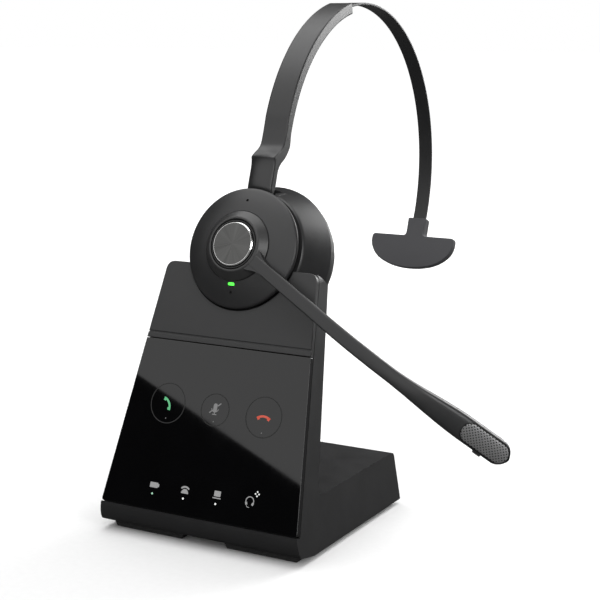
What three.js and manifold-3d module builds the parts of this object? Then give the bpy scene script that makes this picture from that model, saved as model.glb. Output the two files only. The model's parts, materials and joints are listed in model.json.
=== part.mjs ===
// Mono office headset resting in its upright charging base.
// Millimetres, +Z up. The base's front faces -Y, and the boom points to +X.
import * as THREE from 'three';
import { mergeVertices } from 'three/addons/utils/BufferGeometryUtils.js';
import Module from 'manifold-3d';

const wasm = await Module();
wasm.setup();

const { degToRad } = THREE.MathUtils;
const V2 = (x, y) => new THREE.Vector2(x, y);

// ---------------------------------------------------------------- driving dimensions
const gap = 0.3; // between neighbouring pieces
const roundSegments = 40; // around every turned piece

const stand = {
  halfWidth: 50, // at the panel's lower edge
  taper: 0.107, // half-width lost for each mm up the panel
  lean: 20.5, // degrees that the panel leans back from upright
  chinHeight: 13.6, // from the desk to the panel's lower edge
  panelLength: 110.6, // up the slope
  wall: 2.2,
  depth: 97, // front of the chin to the back wall, at the bottom
  blockTop: 25.2, // height of the low rear block
  slabTopDepth: 10.2, // slab's depth behind the panel plane at its top
  slabLowDepth: 15.5, // the same where it meets the rear block
  ground: 1.5, // underside of the bottom cover
  chinBottom: [1.6, 4.6], // lowest point of the chin's front (Y, Z)
  undercutEnd: 15.5, // where the chin's sloping underside meets the bottom cover
  coverThickness: 2,
  edgeRound: 4.5,
  slabFrom: 20, // where the slab's back face starts, measured up the slope
  backTop: [1.6, 6.2], // how far the crown is rounded back and down
  backLean: 2, // how far the rear block's back wall leans in
  sill: 2.2, // height of the ledge under the touch panel
};
const plate = { thickness: 2.4, touchLength: 74.8, grooveAt: 77.4, grooveWidth: 0.7, grooveDepth: 0.5 };
const foot = {
  length: 38,
  width: 9,
  frontAt: 6.5,
  rearAt: 78.5,
  rearLength: 15,
  spread: 29,
  chamfer: 0.6, // share of the height by which each end slopes in
};
const screw = { radius: 1.2, head: 2.4, headHeight: 1.1, boss: 3.2 };

const disc = {
  radius: 27.1,
  above: 8.05, // hub's centre above the panel's top edge, along the slope
  standoff: 1, // rim plane in front of the panel plane
  hubRadius: 15.6,
  hubBase: 4.8, // cone height of the disc at the hub
  rim: 0.8, // cone height of the disc at its rim
  back: -2.9, // rear of the disc
  wall: 1.5,
  neckRadius: 18.5,
};
const hub = { top: 8.7, rimRadius: 12.5, bushingRadius: 10.9, bushingWall: 0.8 };
const button = { radius: 9.8, face: 9.25, stem: 3, travel: 0.5 };
const drum = { front: -5, frontRadius: 27.8, seam: -20.4, seamRadius: 33.2, wall: 1.6 };
const cushion = { outer: 33, inner: 17.2, back: -30 };
const cradle = { depth: 12, wall: 2.2, slack: 0.6, contactAngle: 17 };
const boom = {
  restAngle: -30.4, // from +X, about the hub's axis
  straight: 56, // from the hub's axis to where the bend begins
  bendRadius: 88,
  bendAngle: 37,
  length: 153.6, // along the centreline
  outerFace: 8.4,
  hubWidth: 5.5,
  middleWidth: 6,
  tipWidth: 10.8,
  thickness: 3.3,
  tipThickness: 5.6,
};
const band = {
  centreDepth: 93.6, // behind the disc's rim plane
  centreHeight: 60, // above the hub's centre
  radius: 85,
  thickness: 5.4,
  width: 12.4,
  armAngle: 57.5, // where the wide arm ends, measured round the band
  stripWidth: 7.6,
  stripThickness: 1.2,
  stripRadius: 83.1,
  stripShift: [1.7, 0.5], // centre of the strip's own circle from the band's
  stripOverlap: 27, // degrees of strip inside the arm
  stripEnd: 186,
};
const ball = { radius: 2.2, height: 22, depth: 6.3, socketWall: 0.6, shank: 1.2 };
const pad = {
  width: 49,
  offset: -1.1, // to the wearer's side of the stem
  top: 47, // above the hub's centre
  bottom: 28.9,
  innerDepth: 175, // soft face, behind the disc's rim plane
  cushion: 3.6,
  frame: 2.4,
  neckWidth: 10.5,
};

// ---------------------------------------------------------------- frames
const lean = degToRad(stand.lean);
const panelFrame = new THREE.Matrix4()
  .makeRotationX(Math.PI / 2 - lean)
  .setPosition(0, 0, stand.chinHeight);
const hubHeight = stand.panelLength + disc.above;
const headsetOffset = new THREE.Matrix4().makeTranslation(0, hubHeight, disc.standoff);
const headsetFrame = panelFrame.clone().multiply(headsetOffset);

// Point of the base's side view (Y, Z) at a distance up the panel's slope and out from its plane.
const onSlope = (up, out) => {
  const point = new THREE.Vector3(0, up, out).applyMatrix4(panelFrame);
  return V2(point.y, point.z);
};
const panelHalfWidth = (up) => stand.halfWidth - stand.taper * up;
// Half-width of the base at a height above the desk.
const halfWidthAt = (height) => panelHalfWidth((height - stand.chinHeight) / Math.cos(lean));

// ---------------------------------------------------------------- geometry helpers
const sideways = new THREE.Matrix4().makeBasis(
  new THREE.Vector3(0, 1, 0), new THREE.Vector3(0, 0, 1), new THREE.Vector3(1, 0, 0));
const frontOn = new THREE.Matrix4().makeBasis(
  new THREE.Vector3(1, 0, 0), new THREE.Vector3(0, 0, 1), new THREE.Vector3(0, -1, 0));
const bandView = new THREE.Matrix4().makeBasis(
  new THREE.Vector3(0, 0, -1), new THREE.Vector3(0, 1, 0), new THREE.Vector3(1, 0, 0));

function box(x0, x1, y0, y1, z0, z1) {
  const geometry = new THREE.BoxGeometry(x1 - x0, y1 - y0, z1 - z0);
  return geometry.translate((x0 + x1) / 2, (y0 + y1) / 2, (z0 + z1) / 2);
}

function cylinder(radius, z0, z1, x = 0, y = 0, segments = 20) {
  const geometry = new THREE.CylinderGeometry(radius, radius, z1 - z0, segments);
  return geometry.rotateX(Math.PI / 2).translate(x, y, (z0 + z1) / 2);
}

// Solid of revolution about Z from a closed outline of [radius, height] points.
function turned(points, segments = roundSegments) {
  const outline = points.map(([radius, height]) => V2(radius, height));
  if (THREE.ShapeUtils.area(outline) < 0) outline.reverse();
  outline.push(outline[0].clone());
  return new THREE.LatheGeometry(outline, segments).rotateX(Math.PI / 2);
}

const tube = (inner, outer, z0, z1, segments) =>
  turned([[inner, z0], [outer, z0], [outer, z1], [inner, z1]], segments);

// Prism of an outline, from z0 to z1, with an optional bevel on both faces.
function prism(shape, z0, z1, bevel = 0, curveSegments = 8) {
  const geometry = new THREE.ExtrudeGeometry(shape, {
    depth: z1 - z0 - 2 * bevel,
    bevelEnabled: bevel > 0,
    bevelSize: bevel,
    bevelOffset: -bevel,
    bevelThickness: bevel,
    bevelSegments: 1,
    curveSegments,
    steps: 1,
  });
  return geometry.translate(0, 0, z0 + bevel);
}

function polygon(points) {
  return new THREE.Shape(points.map(([x, y]) => V2(x, y)));
}

function roundedRectangle(width, height, radius, x = 0, y = 0) {
  const shape = new THREE.Shape();
  const [left, right, low, high] = [x - width / 2, x + width / 2, y - height / 2, y + height / 2];
  shape.moveTo(left + radius, low);
  shape.lineTo(right - radius, low);
  shape.absarc(right - radius, low + radius, radius, -Math.PI / 2, 0);
  shape.absarc(right - radius, high - radius, radius, 0, Math.PI / 2);
  shape.absarc(left + radius, high - radius, radius, Math.PI / 2, Math.PI);
  shape.absarc(left + radius, low + radius, radius, Math.PI, Math.PI * 1.5);
  return shape;
}

// Closed triangle mesh of a geometry as a manifold solid.
function solid(geometry, matrix) {
  const bare = geometry.clone();
  if (matrix) bare.applyMatrix4(matrix);
  bare.deleteAttribute('normal');
  bare.deleteAttribute('uv');
  const welded = mergeVertices(bare, 1e-4);
  const corners = welded.index.array;
  const kept = [];
  for (let i = 0; i < corners.length; i += 3) {
    const [a, b, c] = [corners[i], corners[i + 1], corners[i + 2]];
    if (a !== b && b !== c && c !== a) kept.push(a, b, c);
  }
  return new wasm.Manifold(new wasm.Mesh({
    numProp: 3,
    vertProperties: Float32Array.from(welded.attributes.position.array),
    triVerts: Uint32Array.from(kept),
  }));
}

function cut(body, ...tools) {
  return tools.reduce((result, tool) => result.subtract(solid(tool)), body);
}

function join(body, ...others) {
  return others.reduce((result, other) => result.add(solid(other)), body);
}

function geometryOf(body) {
  const mesh = body.getMesh();
  const geometry = new THREE.BufferGeometry();
  geometry.setAttribute('position', new THREE.BufferAttribute(mesh.vertProperties, 3));
  geometry.setIndex(new THREE.BufferAttribute(mesh.triVerts, 1));
  geometry.computeVertexNormals();
  return geometry;
}

// ---------------------------------------------------------------- materials
const paints = {
  shell: { color: 0x262627, roughness: 0.5, metalness: 0 },
  plate: { color: 0x3a3a3b, roughness: 0.55, metalness: 0 },
  glass: { color: 0x050505, roughness: 0.08, metalness: 0 },
  satin: { color: 0x333334, roughness: 0.35, metalness: 0.1 },
  brushed: { color: 0x6d6d6c, roughness: 0.3, metalness: 1 },
  leatherette: { color: 0x1b1b1b, roughness: 0.65, metalness: 0 },
  rubber: { color: 0x1c1c1c, roughness: 0.9, metalness: 0 },
  gold: { color: 0xc9a24a, roughness: 0.3, metalness: 1 },
  steel: { color: 0x8c8d8f, roughness: 0.4, metalness: 1 },
  board: { color: 0x1f4d33, roughness: 0.6, metalness: 0 },
  clear: { color: 0xd9e4dc, roughness: 0.15, metalness: 0 },
  light: { color: 0x35e04a, roughness: 0.3, metalness: 0 },
  cell: { color: 0x9aa3ad, roughness: 0.45, metalness: 0.3 },
};

function piece(name, shape, paint) {
  const geometry = shape.isBufferGeometry ? geometryOf(solid(shape)) : geometryOf(shape);
  const mesh = new THREE.Mesh(geometry, new THREE.MeshStandardMaterial(paints[paint]));
  mesh.name = name;
  return mesh;
}

// ================================================================ charging base
const plateBack = -plate.thickness;
const shellFront = plateBack - gap; // the housing's front rim, behind the plates

// Back face of the slab in the side view: a straight line, moved inwards by an inset.
function slabBack(height, inset = 0) {
  const top = onSlope(stand.panelLength, 0);
  const backTop = V2(top.x + stand.slabTopDepth - stand.backTop[0], top.y - stand.backTop[1]);
  const low = onSlope(stand.slabFrom, 0);
  const backLow = V2(low.x + stand.slabLowDepth, low.y);
  const share = (height - backLow.y) / (backTop.y - backLow.y);
  return backLow.x + share * (backTop.x - backLow.x) - inset;
}

// Height of the chin's sloping underside above the desk.
function undercutHeight(y) {
  const [chinBack, chinLow] = stand.chinBottom;
  const share = (y - chinBack) / (stand.undercutEnd - chinBack);
  return chinLow - 0.5 + share * (stand.ground + 0.5 - chinLow);
}

// Side outline (Y, Z) of the housing's outside.
function housingSide() {
  const rearTop = stand.depth - stand.backLean;
  const backTopHeight = onSlope(stand.panelLength, 0).y - stand.backTop[1];
  const shape = new THREE.Shape();
  const crown = onSlope(stand.panelLength, shellFront);
  const lip = onSlope(-gap, shellFront);
  const lipEdge = onSlope(-gap, 0);
  shape.moveTo(crown.x, crown.y);
  shape.lineTo(lip.x, lip.y);
  shape.lineTo(lipEdge.x, lipEdge.y);
  const [chinBack, chinLow] = stand.chinBottom;
  shape.quadraticCurveTo(-0.6, 8, chinBack, chinLow);
  shape.lineTo(chinBack + 1.4, undercutHeight(chinBack + 1.4));
  shape.lineTo(stand.undercutEnd, stand.ground);
  shape.lineTo(stand.depth - 0.8, stand.ground);
  shape.lineTo(stand.depth, stand.ground + 0.8);
  shape.lineTo(rearTop, stand.blockTop - 3);
  shape.quadraticCurveTo(rearTop, stand.blockTop, rearTop - 3, stand.blockTop);
  shape.lineTo(slabBack(stand.blockTop) + 5, stand.blockTop);
  shape.quadraticCurveTo(slabBack(stand.blockTop), stand.blockTop,
    slabBack(stand.blockTop + 5), stand.blockTop + 5);
  shape.lineTo(slabBack(backTopHeight), backTopHeight);
  return shape;
}

// Side outline of its inside, open towards the panel and downwards.
function housingInside() {
  const ceiling = stand.blockTop - stand.wall;
  const upper = onSlope(stand.panelLength - stand.wall - 1, 0).y - stand.backTop[1];
  const roofFront = onSlope(stand.panelLength - stand.wall, 1);
  const sill = onSlope(stand.sill, 1);
  const sillBack = onSlope(stand.sill, shellFront - 1.6);
  const [chinBack, chinLow] = stand.chinBottom;
  const floorAt = (y) => undercutHeight(y) + stand.wall;
  const chinInside = chinBack + stand.wall + 0.8;
  return polygon([
    [roofFront.x, roofFront.y], [sill.x, sill.y], [sillBack.x, sillBack.y],
    [chinInside, Math.max(floorAt(chinInside), chinLow)],
    [stand.undercutEnd, floorAt(stand.undercutEnd)], [stand.undercutEnd, stand.ground - 1],
    [stand.depth - stand.wall - 0.6, stand.ground - 1],
    [stand.depth - stand.backLean - stand.wall - 0.4, ceiling],
    [slabBack(ceiling, stand.wall) + 5, ceiling],
    [slabBack(stand.blockTop + 5, stand.wall), stand.blockTop + 5],
    [slabBack(upper, stand.wall), upper],
  ]);
}

// Front outline (X, Z) of the housing, moved inwards by an inset.
function housingFront(inset, low, high, topRound, lowRound) {
  const [lowHalf, highHalf] = [halfWidthAt(low) - inset, halfWidthAt(high) - inset];
  const [lowRise, topRise] = [lowRound * stand.taper, topRound * stand.taper];
  const shape = new THREE.Shape();
  shape.moveTo(-lowHalf + lowRound, low);
  shape.lineTo(lowHalf - lowRound, low);
  shape.quadraticCurveTo(lowHalf, low, lowHalf - lowRise, low + lowRound);
  shape.lineTo(highHalf + topRise, high - topRound);
  shape.quadraticCurveTo(highHalf, high, highHalf - topRound, high);
  shape.lineTo(-highHalf + topRound, high);
  shape.quadraticCurveTo(-highHalf, high, -highHalf - topRise, high - topRound);
  shape.lineTo(-lowHalf + lowRise, low + lowRound);
  shape.quadraticCurveTo(-lowHalf, low, -lowHalf + lowRound, low);
  return shape;
}

// The drum is a cone that widens towards the ear.
const drumSlope = (drum.seamRadius - drum.frontRadius) / (drum.front - drum.seam);
const coneRadius = (z) => drum.frontRadius + (drum.front - z) * drumSlope;

// The drum's cone, widened by a clearance.
function drumCone(extra, z0, z1) {
  return turned([[0, z0], [coneRadius(z0) + extra, z0], [coneRadius(z1) + extra, z1], [0, z1]]);
}

const bossPlaces = [[-39, 30], [39, 30], [-39, 84], [39, 84]];
const portHeight = 10.5; // underside of the sockets, on top of the main board
const ports = [
  { name: 'power_jack', x: -30, width: 9, height: 10.4, hole: { round: 3 } },
  { name: 'phone_port', x: -16, width: 13, height: 11.4, hole: { width: 9.6, height: 7 } },
  { name: 'handset_port', x: -0.5, width: 13, height: 11.4, hole: { width: 9.6, height: 7 } },
  { name: 'aux_port', x: 13.5, width: 10, height: 8, hole: { width: 7.4, height: 4.6 } },
  { name: 'usb_port', x: 26.8, width: 9.5, height: 5.6, hole: { width: 7.2, height: 3 } },
];

function baseHousing() {
  const crownHeight = onSlope(stand.panelLength, 0).y;
  const reach = stand.halfWidth + 10;
  const outside = solid(prism(housingSide(), -reach, reach), sideways)
    .intersect(solid(prism(housingFront(0, stand.ground, crownHeight, stand.edgeRound, 1.2),
      -stand.depth - 20, 20), frontOn));
  const inside = solid(prism(housingInside(), -reach, reach), sideways)
    .intersect(solid(prism(housingFront(stand.wall, -4, crownHeight - 1, 2, 1),
      -stand.depth - 20, 20), frontOn));
  const bossTop = stand.blockTop - stand.wall / 2;
  const bossFoot = stand.ground + stand.coverThickness + gap;
  const cradleTool = solid(drumCone(cradle.slack + cradle.wall + gap, -cradle.depth - 8, 8),
    headsetFrame);
  let body = outside.subtract(inside).subtract(cradleTool);
  for (const [x, y] of bossPlaces) {
    body = join(body, cylinder(screw.boss, bossFoot, bossTop, x, y));
    body = cut(body, cylinder(screw.radius + gap, bossFoot - 1, bossFoot + 9, x, y, 12));
  }
  for (const port of ports) {
    const [half, low] = [port.width / 2 + gap, portHeight - gap];
    body = cut(body, box(port.x - half, port.x + half, stand.depth - 8, stand.depth + 8,
      low, portHeight + port.height + gap));
  }
  return piece('base_housing', body, 'shell');
}

function bottomCover() {
  const half = halfWidthAt(stand.ground) - stand.wall - gap - 0.8;
  const front = stand.undercutEnd + gap;
  const back = stand.depth - stand.wall - gap - 0.8;
  const shape = roundedRectangle(2 * half, back - front, 3, 0, (front + back) / 2);
  let body = solid(prism(shape, stand.ground, stand.ground + stand.coverThickness));
  for (const [x, y] of bossPlaces) {
    const sink = stand.ground + screw.headHeight + gap;
    body = cut(body, cylinder(screw.head + gap, stand.ground - 1, sink, x, y, 16),
      cylinder(screw.radius + gap, stand.ground, stand.ground + 4, x, y, 12));
  }
  for (let row = -1; row <= 1; row += 1) {
    for (let slot = -1; slot <= 1; slot += 1) {
      const [x, y] = [-20 + slot * 6, 60 + row * 7];
      body = cut(body, box(x - 2, x + 2, y - 0.8, y + 0.8, stand.ground - 1, stand.ground + 4));
    }
  }
  return piece('base_bottom_cover', body, 'shell');
}

// Front plate outline between two distances up the slope.
function plateOutline(low, high, topRadius) {
  const [lowHalf, highHalf] = [panelHalfWidth(low), panelHalfWidth(high)];
  const shape = new THREE.Shape();
  shape.moveTo(-lowHalf, low);
  shape.lineTo(lowHalf, low);
  shape.lineTo(highHalf + stand.taper * topRadius, high - topRadius);
  shape.quadraticCurveTo(highHalf, high, highHalf - topRadius, high);
  shape.lineTo(-highHalf + topRadius, high);
  shape.quadraticCurveTo(-highHalf, high, -highHalf - stand.taper * topRadius, high - topRadius);
  return shape;
}

function faceplate() {
  const outline = plateOutline(plate.touchLength + gap, stand.panelLength, stand.edgeRound);
  const notch = cylinder(disc.radius + 0.5, -10, 10, 0, hubHeight, 56);
  const reach = stand.halfWidth + 1;
  const groove = box(-reach, reach, plate.grooveAt, plate.grooveAt + plate.grooveWidth,
    -plate.grooveDepth, 1);
  return piece('faceplate', cut(solid(prism(outline, plateBack, 0)), notch, groove), 'plate');
}

const touchPanel = () =>
  piece('touch_panel', prism(plateOutline(0, plate.touchLength, 0.01), plateBack, 0), 'glass');

function panelSheet(name, inset, z0, z1, paint) {
  const [low, high] = [3.2, plate.touchLength - 2];
  const shape = polygon([
    [-panelHalfWidth(low) + inset, low], [panelHalfWidth(low) - inset, low],
    [panelHalfWidth(high) - inset, high], [-panelHalfWidth(high) + inset, high]]);
  return piece(name, prism(shape, z0, z1), paint);
}

// Curved liner that the drum rests in, cut level with the slab's top.
function cradleCup() {
  const front = plateBack - gap - disc.standoff;
  const outer = solid(drumCone(cradle.slack + cradle.wall, -cradle.depth, front));
  const inner = solid(drumCone(cradle.slack, -cradle.depth - 1, front + 1));
  const level = -disc.above - 3.5;
  const lower = solid(box(-50, 50, -50, level, -30, 10));
  let body = outer.subtract(inner).intersect(lower);
  for (const side of [-1, 1]) body = cut(body, contactPin(side, gap));
  const slabInside = solid(prism(housingSide(), -80, 80), sideways.clone()
    .premultiply(headsetFrame.clone().invert()));
  return piece('cradle_cup', body.intersect(slabInside), 'shell');
}

// Cylinder that points at the hub's axis, from the cradle to the drum's charging pad.
function radialPin(radius, from, to, angle, z) {
  const pin = new THREE.CylinderGeometry(radius, radius, to - from, 16);
  pin.translate(0, (from + to) / 2, 0).rotateZ(degToRad(angle) + Math.PI);
  return pin.translate(0, 0, z);
}

const contactDepth = -(cradle.depth + 4) / 2;
function contactPin(side, extra = 0) {
  const rim = coneRadius(contactDepth);
  return radialPin(1.4 + extra, rim - 0.1 - extra, rim + cradle.slack + 4, side * cradle.contactAngle,
    contactDepth);
}

// Foot under the flat bottom, or under the chin's slope with its front at frontY.
function rubberFoot(name, x, frontY, backY, length) {
  const topAt = (y) => (y < stand.undercutEnd ? undercutHeight(y) : stand.ground) - gap;
  const side = polygon([[frontY, 0], [backY, 0], [backY, topAt(backY)], [frontY, topAt(frontY)]]);
  const tall = topAt(frontY);
  const [top, base] = [length / 2, length / 2 - tall * foot.chamfer];
  const front = polygon([[x - base, 0], [x + base, 0], [x + top, tall], [x - top, tall]]);
  const body = solid(prism(side, x - length, x + length), sideways)
    .intersect(solid(prism(front, -backY - 5, -frontY + 5), frontOn));
  return piece(name, body, 'rubber');
}

function baseScrew(name, x, y) {
  const seat = stand.ground + screw.headHeight;
  const profile = [[0, stand.ground + 0.1], [screw.head, stand.ground + 0.1], [screw.head, seat],
    [screw.radius, seat], [screw.radius, seat + 9], [0, seat + 9.6]];
  return piece(name, turned(profile, 16).translate(x, y, 0), 'steel');
}

function portPiece({ name, x, width, height, hole }) {
  const back = stand.depth - 2.6;
  const [low, middle] = [portHeight, portHeight + height / 2];
  let body = solid(box(x - width / 2, x + width / 2, back - 14, back, low, low + height));
  if (hole.round) {
    const bore = cylinder(hole.round, -11, 1, 0, 0, 20).rotateX(-Math.PI / 2);
    const pin = cylinder(0.9, -12, -2, 0, 0, 12).rotateX(-Math.PI / 2);
    body = join(cut(body, bore.translate(x, back, middle)), pin.translate(x, back, middle));
  } else {
    const [halfW, halfH] = [hole.width / 2, hole.height / 2];
    body = cut(body, box(x - halfW, x + halfW, back - 11, back + 1, middle - halfH, middle + halfH));
  }
  return piece(name, body, name === 'usb_port' ? 'steel' : 'shell');
}

function baseElectronics() {
  const boardTop = portHeight - gap;
  const mainShape = polygon([[-43, 34], [43, 34], [43, 80], [34, 80], [34, 93], [-34, 93], [-34, 80],
    [-43, 80]]);
  let main = solid(prism(mainShape, boardTop - 1.6, boardTop));
  for (const [x, y] of bossPlaces) main = cut(main, cylinder(screw.boss + gap, 0, 30, x, y, 16));
  const floor = stand.ground + stand.coverThickness + gap;
  const ballast = roundedRectangle(42, 52, 3, 12, 60);
  const ringer = turned([[0, floor], [12.5, floor], [12.5, floor + 1.6], [8, floor + 4], [0, floor + 4]],
    28).translate(-22, 60, 0);
  return [
    piece('main_board', main, 'board'),
    piece('ballast_plate', prism(ballast, floor, floor + 3.4), 'steel'),
    piece('ringer_speaker', ringer, 'shell'),
  ];
}

function panelPieces() {
  const guideBack = plateBack - gap - 1;
  const boardBack = guideBack - gap - 1.2;
  const aerial = roundedRectangle(26, 44, 2, 0, 52);
  const aerialFront = boardBack - 1.5;
  return [
    faceplate(),
    touchPanel(),
    panelSheet('key_light_guide', stand.wall + 1.5, guideBack, plateBack - gap, 'clear'),
    panelSheet('touch_board', stand.wall + 1.5, boardBack, guideBack - gap, 'board'),
    piece('antenna_board', prism(aerial, aerialFront - 1, aerialFront), 'board'),
  ];
}

function dockPieces() {
  const pieces = [baseHousing(), bottomCover(), ...ports.map(portPiece), ...baseElectronics()];
  bossPlaces.forEach(([x, y], i) => pieces.push(baseScrew(`base_screw_${i + 1}`, x, y)));
  for (const [side, x] of [['left', -foot.spread], ['right', foot.spread]]) {
    const rearX = Math.sign(x) * (stand.halfWidth - foot.rearLength / 2 - 1.5);
    pieces.push(rubberFoot(`foot_front_${side}`, x, foot.frontAt, foot.frontAt + foot.width, foot.length));
    pieces.push(rubberFoot(`foot_rear_${side}`, rearX, foot.rearAt, foot.rearAt + foot.width,
      foot.rearLength));
  }
  return pieces;
}

// ================================================================ earcup
const faceAt = (radius) => disc.hubBase
  + (disc.rim - disc.hubBase) * (radius - disc.hubRadius) / (disc.radius - disc.hubRadius);
const shellSplit = -1.6;
const shellInner = disc.hubBase - disc.wall;

function frontShell() {
  const hole = hub.bushingRadius + gap;
  const profile = [
    [hole, disc.hubBase], [disc.hubRadius, disc.hubBase], [disc.radius - 0.8, faceAt(disc.radius - 0.8)],
    [disc.radius, faceAt(disc.radius) - 0.7], [disc.radius - 0.5, shellSplit],
    [disc.radius - disc.wall, shellSplit], [disc.radius - disc.wall, -0.3],
    [disc.hubRadius + 0.6, shellInner], [hole, shellInner]];
  const body = cut(solid(turned(profile, 56)), cylinder(0.7, 0, 6, 0, 20.9, 10),
    lightSlot(gap), cylinder(0.7, 0, 6, 0, -20.4, 10));
  return piece('front_shell', body, 'satin');
}

function lightSlot(extra) {
  const shape = roundedRectangle(3.6 + 2 * extra, 1.6 + 2 * extra, 0.7 + extra, 0, -17);
  return prism(shape, 0.4, 8, 0, 3);
}

function rearShell() {
  const rim = shellSplit - gap;
  const floor = disc.back + 1.1;
  const neckEnd = drum.front + gap;
  const profile = [
    [disc.radius - 0.7, rim], [disc.radius - 2, disc.back], [disc.neckRadius, disc.back],
    [disc.neckRadius, neckEnd], [disc.neckRadius - 1.4, neckEnd],
    [disc.neckRadius - 1.4, floor], [disc.radius - 2.6, floor], [disc.radius - 2.2, rim]];
  return piece('rear_shell', turned(profile, 56), 'satin');
}

function hubPieces() {
  const inner = hub.bushingRadius - hub.bushingWall;
  const flangeTop = shellInner - gap;
  const bushing = turned([
    [inner, flangeTop - 1], [hub.bushingRadius + 2, flangeTop - 1], [hub.bushingRadius + 2, flangeTop],
    [hub.bushingRadius, flangeTop], [hub.bushingRadius, hub.top - 0.2], [inner, hub.top - 0.2]]);
  const bodyRadius = Math.min(button.radius, inner - gap);
  const stemEnd = flangeTop + 0.4;
  const cap = turned([
    [0, stemEnd], [button.stem, stemEnd], [button.stem, hub.top - 1.6], [bodyRadius, hub.top - 1.6],
    [bodyRadius, button.face - 0.35], [bodyRadius - 0.4, button.face], [0, button.face]]);
  const boardTop = -0.4;
  const switchTop = stemEnd - button.travel - gap;
  const dome = turned([[0, boardTop + gap], [3.4, boardTop + gap], [3.4, switchTop - 0.7],
    [2, switchTop], [0, switchTop]], 20);
  const pipe = solid(lightSlot(0)).intersect(solid(turned(
    [[0, -1], [40, -1], [40, faceAt(40)], [disc.hubRadius, disc.hubBase], [0, disc.hubBase]])));
  return [
    piece('hub_bushing', bushing, 'shell'),
    piece('talk_button', cap, 'brushed'),
    piece('talk_switch', dome, 'steel'),
    piece('status_light_pipe', pipe, 'light'),
    piece('headset_board', cylinder(disc.radius - 3.2, boardTop - 1, boardTop, 0, 0, 36), 'board'),
  ];
}

// Pocket in the top of the drum's front that the headband's stem drops into.
const pocket = { halfWidth: 8.4, floor: 18.8, back: -11.5, wall: 1.3 };

function speakerHousing() {
  const inner = (z) => coneRadius(z) - drum.wall;
  const innerFront = drum.front - drum.wall;
  const shell = turned([
    [5, drum.front], [drum.frontRadius - 1.1, drum.front], [drum.frontRadius, drum.front - 1.1],
    [drum.seamRadius, drum.seam], [inner(drum.seam), drum.seam],
    [inner(innerFront) - drumSlope, innerFront], [5, innerFront]], 56);
  const envelope = solid(drumCone(0, drum.seam, drum.front));
  const lining = solid(box(-pocket.halfWidth - pocket.wall, pocket.halfWidth + pocket.wall,
    pocket.floor - pocket.wall, 40, pocket.back - pocket.wall, drum.front - 0.2));
  let body = solid(shell).add(lining.intersect(envelope));
  body = cut(body, box(-pocket.halfWidth, pocket.halfWidth, pocket.floor, 50, pocket.back, 5));
  for (const side of [-1, 1]) body = cut(body, chargePad(side, gap));
  for (const angle of volumeAngles) body = cut(body, volumeKey(angle, gap));
  return piece('speaker_housing', body, 'satin');
}

function chargePad(side, extra = 0) {
  const rim = coneRadius(contactDepth);
  return radialPin(1.9 + extra, rim - 1.2 - extra, rim - 0.4 + 10 * extra, side * cradle.contactAngle,
    contactDepth);
}

const volumeAngles = [148, 170];
const keyDepth = -13;
function volumeKey(angle, extra = 0) {
  const rim = coneRadius(keyDepth);
  const shape = roundedRectangle(9 + 2 * extra, 4.6 + 2 * extra, 1.2, 0, 0);
  const [low, high] = extra > 0 ? [rim - 5, rim + 5] : [rim - 2.6, rim + 0.7];
  const outward = new THREE.Vector3(Math.cos(degToRad(angle)), Math.sin(degToRad(angle)), 0);
  const along = new THREE.Vector3(-outward.y, outward.x, 0);
  const facing = new THREE.Matrix4().makeBasis(along, new THREE.Vector3(0, 0, 1), outward);
  return prism(shape, low, high, 0, 3).applyMatrix4(facing).translate(0, 0, keyDepth);
}

function drumContents() {
  const cell = roundedRectangle(30, 26, 2, 0, -4);
  const cellFront = drum.front - drum.wall - gap - 0.4;
  const driverFront = pocket.back - pocket.wall - gap;
  const driver = turned([
    [0, driverFront], [9, driverFront], [9, driverFront - 2.6], [16, driverFront - 3.4],
    [16, driverFront - 5.6], [0, driverFront - 5.6]]);
  const baffleFront = driverFront - 5.6 - gap;
  const baffleRadius = coneRadius(baffleFront) - drum.wall - gap - 0.15;
  let baffle = solid(cylinder(baffleRadius, baffleFront - 1.3, baffleFront, 0, 0, roundSegments));
  for (let ring = 0; ring <= 2; ring += 1) {
    const count = ring === 0 ? 1 : ring * 6;
    for (let i = 0; i < count; i += 1) {
      const angle = (2 * Math.PI * i) / count;
      baffle = cut(baffle, cylinder(1.1, baffleFront - 3, baffleFront + 1,
        ring * 4.8 * Math.cos(angle), ring * 4.8 * Math.sin(angle), 8));
    }
  }
  const ringFront = drum.seam - gap;
  const mount = tube(cushion.inner + 1, drum.seamRadius - 2.2, ringFront - 1, ringFront);
  return [
    piece('battery', prism(cell, cellFront - 3.2, cellFront), 'cell'),
    piece('speaker_driver', driver, 'steel'),
    piece('speaker_baffle', baffle, 'shell'),
    piece('cushion_ring', mount, 'shell'),
  ];
}

function earCushion() {
  const ringOuter = drum.seamRadius - 2.2 + gap;
  const front = drum.seam - gap;
  const seat = front - 1 - gap;
  const { outer, inner, back } = cushion;
  const profile = [
    [ringOuter, front], [outer - 0.3, front], [outer, front - 1.2], [outer, front - 3.6],
    [outer - 1, back + 3], [outer - 4.4, back + 0.6], [(outer + inner) / 2, back],
    [inner + 3, back + 1.2], [inner, back + 4.4], [inner + 0.4, seat], [ringOuter, seat]];
  return piece('ear_cushion', turned(profile, 48), 'leatherette');
}

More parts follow.
